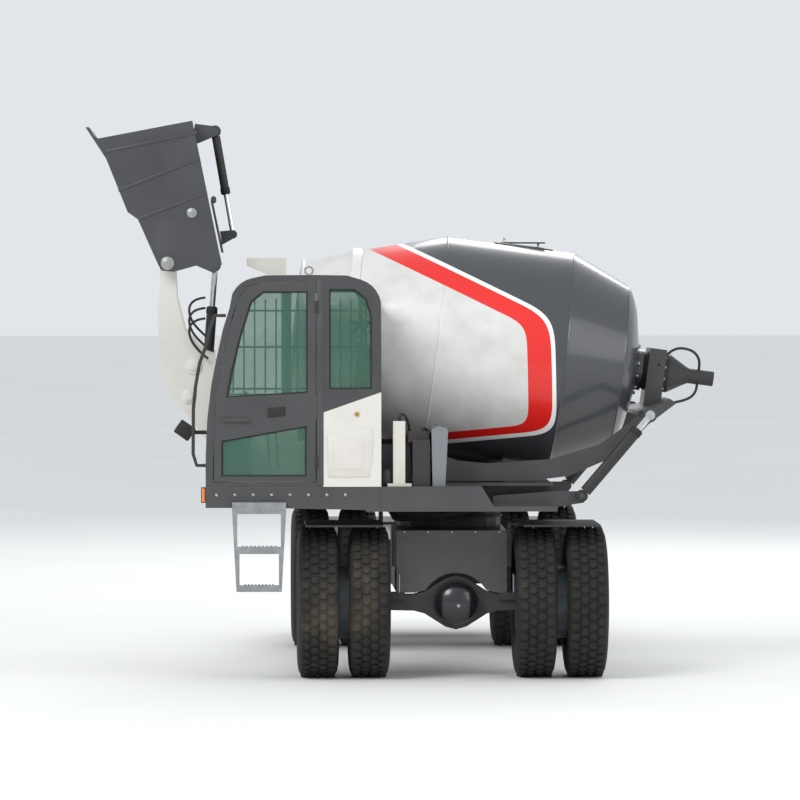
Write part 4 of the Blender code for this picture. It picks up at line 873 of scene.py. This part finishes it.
# ---- ladder treads ----
def ladder_teeth(name, z, half):
    """Serrated foot edge: small blocks along a step."""
    teeth = []
    for index in range(9):
        x = -1.38 - half + (index + 0.5) * 2 * half / 9
        start_block(at(x - 0.007, -1.324, z), at(x + 0.007, -1.278, z + 0.008))
        teeth.append(modelled())
    join(teeth, name)
    place_piece(name, "deck", LADDER, bevel=0.002)


ladder_teeth("ladder_lower_teeth", 0.694, 0.11)
ladder_teeth("ladder_upper_teeth", 0.966, 0.13)


# ---- drum ----
DRUM_TILT = math.radians(7.13)
DRUM_WAY = Vector((math.cos(DRUM_TILT), 0, -math.sin(DRUM_TILT)))
DRUM_UP = Vector((math.sin(DRUM_TILT), 0, math.cos(DRUM_TILT)))
DRUM_MID = at(0, MIDDLE, 2.363)
DRUM_MOUTH, BELLY_FRONT, BELLY_REAR, DRUM_TAIL = -1.108, -0.091, 0.836, 1.266    # seams along the axis
MOUTH_RADIUS, BELLY = 0.481, 0.793


def on_drum(along, rise=0.0, across=0.0):
    return DRUM_MID + DRUM_WAY * along + DRUM_UP * rise + Vector((0, across, 0))


def drum_ring(name, along, radius, thickness):
    """Rolled or welded ring round the drum."""
    deselect()
    turn = DRUM_WAY.to_track_quat("Z", "Y").to_euler()
    bpy.ops.mesh.primitive_torus_add(location=on_drum(along), rotation=turn, major_radius=radius,
                                     minor_radius=thickness, major_segments=108, minor_segments=10)
    return place_piece(name, "drum", DRUM)


def drum_shell():
    """Rolled sheet drum: the same outline as its solid, turned round."""
    wall = 0.012
    profile = [(DRUM_MOUTH, MOUTH_RADIUS), (-0.768, 0.602), (-0.768, 0.628), (-0.698, 0.628), (-0.698, 0.618),
               (BELLY_FRONT, BELLY), (BELLY_REAR, BELLY), (DRUM_TAIL, 0.603), (1.300, 0.560), (1.321, 0.515),
               (1.350, 0.440), (1.366, 0.360), (1.385, 0.260), (1.398, 0.200), (1.398, 0.150), (1.443, 0.150),
               (1.443, HAIR), (1.378, HAIR), (1.378, 0.190), (1.351, 0.350), (1.311, 0.500),
               (1.262, 0.603 - wall), (0.833, BELLY - wall), (-0.090, BELLY - wall), (-0.733, 0.594),
               (DRUM_MOUTH, MOUTH_RADIUS - wall)]
    turn_profile(profile, DRUM_MID, DRUM_WAY, 128)
    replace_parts(place_piece("drum_shell", "drum", DRUM, angle=22), "drum")


drum_shell()
drum_ring("drum_mouth_roll", -1.112, MOUTH_RADIUS, 0.013)
drum_ring("drum_front_weld", BELLY_FRONT, 0.790, 0.007)
drum_ring("drum_rear_weld", BELLY_REAR, 0.790, 0.007)
drum_ring("drum_tail_weld", DRUM_TAIL, 0.601, 0.006)
bolt_circle("drum_drive_bolts", on_drum(1.400), 0.178, 12, "drum", DRUM_WAY, 0.013, 0.012)
bolt_circle("gearbox_bolts", on_drum(1.601), 0.162, 12, "drum_cradle", DRUM_WAY, 0.011, 0.010)


def drum_hatch():
    """Cleaning hatch on the drum's top: a bowed cover, its rim and two toggle handles."""
    start_block(on_drum(0.25, 0.768, -0.10), on_drum(0.25, 0.768, -0.10) + Vector((0.44, 0.20, 0.030)))
    bpy.ops.mesh.select_all(action="SELECT")
    bpy.ops.transform.rotate(value=-DRUM_TILT, orient_axis="Y", center_override=on_drum(0.25, 0.772))
    bpy.ops.mesh.bevel(offset=0.012, segments=2, affect="EDGES")
    cover = modelled()
    start_block(on_drum(0.30, 0.790, -0.07), on_drum(0.30, 0.790, -0.07) + Vector((0.33, 0.14, 0.014)))
    bpy.ops.mesh.bevel(offset=0.010, segments=2, affect="EDGES")
    join([cover, modelled()], "drum_hatch")
    place_piece("drum_hatch", "drum", DARK)
    grips = []
    for along in (0.33, 0.58):
        deselect()
        bpy.ops.mesh.primitive_torus_add(location=on_drum(along, 0.802), rotation=(math.pi / 2, 0, math.pi / 2),
                                         major_radius=0.035, minor_radius=0.006,
                                         major_segments=24, minor_segments=8)
        grips.append(bpy.context.object)
    join(grips, "drum_hatch_grips")
    place_piece("drum_hatch_grips", "drum", BOLT)


drum_hatch()


# ---- arm, bucket and cylinders ----
def boss(name, x, z, y, way, radius, body, finish):
    """Pin boss: a turned pad with its pin end stepped out from it in two stages."""
    out = Vector((0, way, 0))
    centre = at(x, y, z) + out * 0.006
    start_round(centre, out, radius, 0.012, 28)
    bpy.ops.mesh.inset(thickness=radius * 0.28)
    extrude(out * 0.006)
    bpy.ops.mesh.inset(thickness=radius * 0.14)
    extrude(out * 0.005)
    return place_piece(name, body, finish, bevel=0.0015)


ARM_HALF, BUCKET_HALF = 0.62, 0.75           # outer faces of the arm's plates and the bucket's sides
FOLD_RISE = 0.006
for label, way in (("near", -1), ("far", 1)):
    face = MIDDLE + way * ARM_HALF
    boss(f"arm_tube_{label}_boss", -1.845, 2.230, face, way, 0.060, "loading_arm", CREAM)
    boss(f"arm_cross_{label}_boss", -1.881, 2.009, face, way, 0.052, "loading_arm", CREAM)
    boss(f"bucket_pin_{label}_boss", -2.031, 2.966, MIDDLE + way * BUCKET_HALF, way, 0.048, "loading_arm",
         BOLT)
boss("bucket_side_boss", -1.856, 3.328, MIDDLE - BUCKET_HALF, -1, 0.036, "bucket", BOLT)
FOLDS = (((-2.382, 3.487), (-1.796, 3.721)), ((-2.243, 3.282), (-1.752, 3.472)),
         ((-2.477, 3.766), (-1.818, 3.904)))
for index, (first, last) in enumerate(FOLDS):
    run = Vector((last[0] - first[0], 0, last[1] - first[1]))
    rise = Vector((-run.z, 0, run.x)).normalized() * 0.010
    for label, way in (("near", -1), ("far", 1)):
        base = at(first[0], MIDDLE + way * BUCKET_HALF, first[1])
        outline = [base - rise, base + run - rise, base + run + rise, base + rise]
        start_sheet(outline, Vector((0, way * FOLD_RISE, 0)))
        place_piece(f"bucket_{label}_fold_{index + 1}", "bucket", BUCKET, bevel=0.003)
TEETH = 7
TEETH_HALF = 0.66
for index in range(TEETH):
    y = MIDDLE - TEETH_HALF + index * 2 * TEETH_HALF / (TEETH - 1)
    tip, root = at(-2.600, y, 3.942), at(-2.475, y, 3.742)
    along = (root - tip).normalized()
    lift = Vector((along.z, 0, -along.x)) * 0.012
    start_sheet([tip - along * 0.006 - lift * 0.3, root - lift, root + lift, tip - along * 0.006 + lift * 0.3],
                Vector((0, 0.055, 0)))
    place_piece(f"bucket_tooth_{index + 1}", "bucket", BUCKET, bevel=0.004)


BARREL_SIZES = {"arm_lift": (0.56, 0.053), "bucket_tilt": (0.40, 0.041), "gate": (0.46, 0.035)}


def gland(name):
    """Threaded gland with its wiper at the barrel's mouth."""
    joint = next(item for item in frame["joints"] if item["child"] == f"{name}_rod")
    way = Vector(joint["axis"]).normalized()
    base_joint = next(item for item in frame["joints"] if item["child"] == f"{name}_barrel")
    base = Vector(base_joint["pos_m"])
    low, high = corners_of(f"{name}_barrel")
    corners = [Vector((x, base.y, z)) for x in (low.x, high.x) for z in (low.z, high.z)]
    far = max((corner - base).dot(way) for corner in corners)
    longest, width = BARREL_SIZES.get(name, (0.62, 0.045))
    reach = min(far, longest)
    start_round(base + way * (reach - 0.020), way, width, 0.046, 24)
    bpy.ops.mesh.inset(thickness=width * 0.22)
    extrude(way * 0.006)
    place_piece(f"{name}_gland", f"{name}_barrel", SEAL, bevel=0.002)


for cylinder in ("arm_lift", "drum_lift_left", "drum_lift_right", "bucket_tilt", "gate"):
    gland(cylinder)


# ---- hoses ----
for index in range(4):
    drop = 0.018 * index
    route = [at(-0.44 + 0.02 * index, -0.42, 1.20), at(-0.46, -0.46, 1.165 - drop),
             at(-0.30, -0.50, 1.175 - drop), at(-0.05, -0.49, 1.150 - drop * 0.4),
             at(0.12, -0.47, 1.185 - drop * 0.5), at(0.22 + 0.03 * index, -0.40, 1.20)]
    hose(f"deck_hose_{index + 1}", route, 0.011, "deck")
for index in range(2):
    side = 0.03 * index
    route = [at(-1.60, -0.30 + side, 1.70), at(-1.78, -0.31 + side, 1.90), at(-1.80, -0.32 + side, 2.15),
             at(-1.86, -0.33 + side, 2.30), at(-1.95, -0.33 + side, 2.50), at(-2.00, -0.33 + side, 2.72)]
    hose(f"arm_hose_{index + 1}", route, 0.010, "loading_arm")
for index in range(3):
    rise = 0.075 * index
    route = [at(-1.74, -0.46, 2.28 + rise), at(-1.84, -0.47, 2.36 + rise), at(-1.90, -0.47, 2.47 + rise),
             at(-1.86, -0.47, 2.56 + rise), at(-1.76, -0.46, 2.57 + rise)]
    hose(f"arm_loop_{index + 1}", route, 0.009, "loading_arm")
upper = [on_drum(1.86, 0.05, -0.02), on_drum(1.87, 0.16, -0.03), on_drum(1.74, 0.22, -0.05),
         on_drum(1.62, 0.18, -0.10), on_drum(1.55, 0.05, -0.19)]
lower = [on_drum(1.86, -0.05, -0.02), on_drum(1.87, -0.15, -0.03), on_drum(1.72, -0.20, -0.08),
         on_drum(1.60, -0.24, -0.16), on_drum(1.50, -0.29, -0.20)]
hose("gearbox_hose_upper", upper, 0.010, "drum_cradle")
hose("gearbox_hose_lower", lower, 0.010, "drum_cradle")
for index, (x, z) in enumerate(((-0.385, 1.80), (-0.230, 1.70))):
    route = [at(x, -1.10, z + 0.02), at(x, -1.12, z + 0.12), at(x + 0.06, -1.06, z + 0.10),
             at(x + 0.09, -0.98, z - 0.05), at(x + 0.10, -0.92, 1.45)]
    hose(f"service_pipe_{index + 1}", route, 0.009, "deck")


# ---- deck trim ----
bolt_row("deck_edge_bolts", at(-1.68, -1.25, 1.33), (0.13, 0, 0), 8, (0, -1, 0), "deck",
         0.011)
start_sheet(side_outline([(-0.526, 1.245), (-0.514, 1.245), (-0.514, 1.384), (-0.526, 1.384)], NEAR - 0.004),
            Vector((0, 0.004, 0)))
place_piece("deck_beam_weld", "deck", DARK, bevel=0.0015)
start_round(at(-0.478, -1.12, 1.442), (0, 0, 1), 0.040, 0.105, 28)
bpy.ops.mesh.inset(thickness=0.008)
extrude((0, 0, 0.012))
place_piece("oil_filler", "deck", BLACK, bevel=0.003)


# ---- stage, light and camera ----
def studio():
    deselect()
    bpy.ops.mesh.primitive_plane_add(size=360, location=(0, 0, 0))
    floor = bpy.context.object
    floor.name = "studio_floor"
    paint, shader = new_material("studio_floor_paint", Roughness=0.9)
    tones = ramp(paint, blotches(paint, 3000), [(0.3, "#ECECEA"), (0.7, "#F0F0EE")])
    link(paint, tones, shader.inputs["Base Color"])
    floor.data.materials.append(paint)
    world = bpy.data.worlds.new("studio_light")
    world.use_nodes = True
    sky = world.node_tree.nodes["Background"].inputs
    sky["Color"].default_value = (0.93, 0.96, 1.0, 1.0)
    sky["Strength"].default_value = 0.82
    bpy.context.scene.world = world
    bpy.context.scene.view_settings.view_transform = "Standard"
    aim = Vector((0, 0, 1.8))
    for name, place, power, size in (("key_light", (-9, -14, 13), 1500, 7),
                                     ("fill_light", (13, -12, 7), 500, 9),
                                     ("back_light", (4, 14, 12), 900, 8)):
        deselect()
        bpy.ops.object.light_add(type="AREA", location=place)
        light = bpy.context.object
        light.name = name
        light.data.energy = power
        light.data.size = size
        light.rotation_euler = (aim - Vector(place)).to_track_quat("-Z", "Y").to_euler()


LOOK_DOWN, LOOK_RIGHT = 1.419, 1.825         # the camera's turns, in degrees


def camera():
    """Long lens from 41 m, a little left of the middle and just above eye height."""
    lens = bpy.data.cameras.new("camera")
    lens.lens = 254.3
    lens.sensor_width = 36
    lens.clip_end = 400
    made = bpy.data.objects.new("camera", lens)
    bpy.context.scene.collection.objects.link(made)
    made.location = at(-1.655, -41.15, 2.99)
    made.rotation_euler = (math.radians(90 - LOOK_DOWN), 0, math.radians(-LOOK_RIGHT))
    bpy.context.scene.camera = made


studio()
camera()
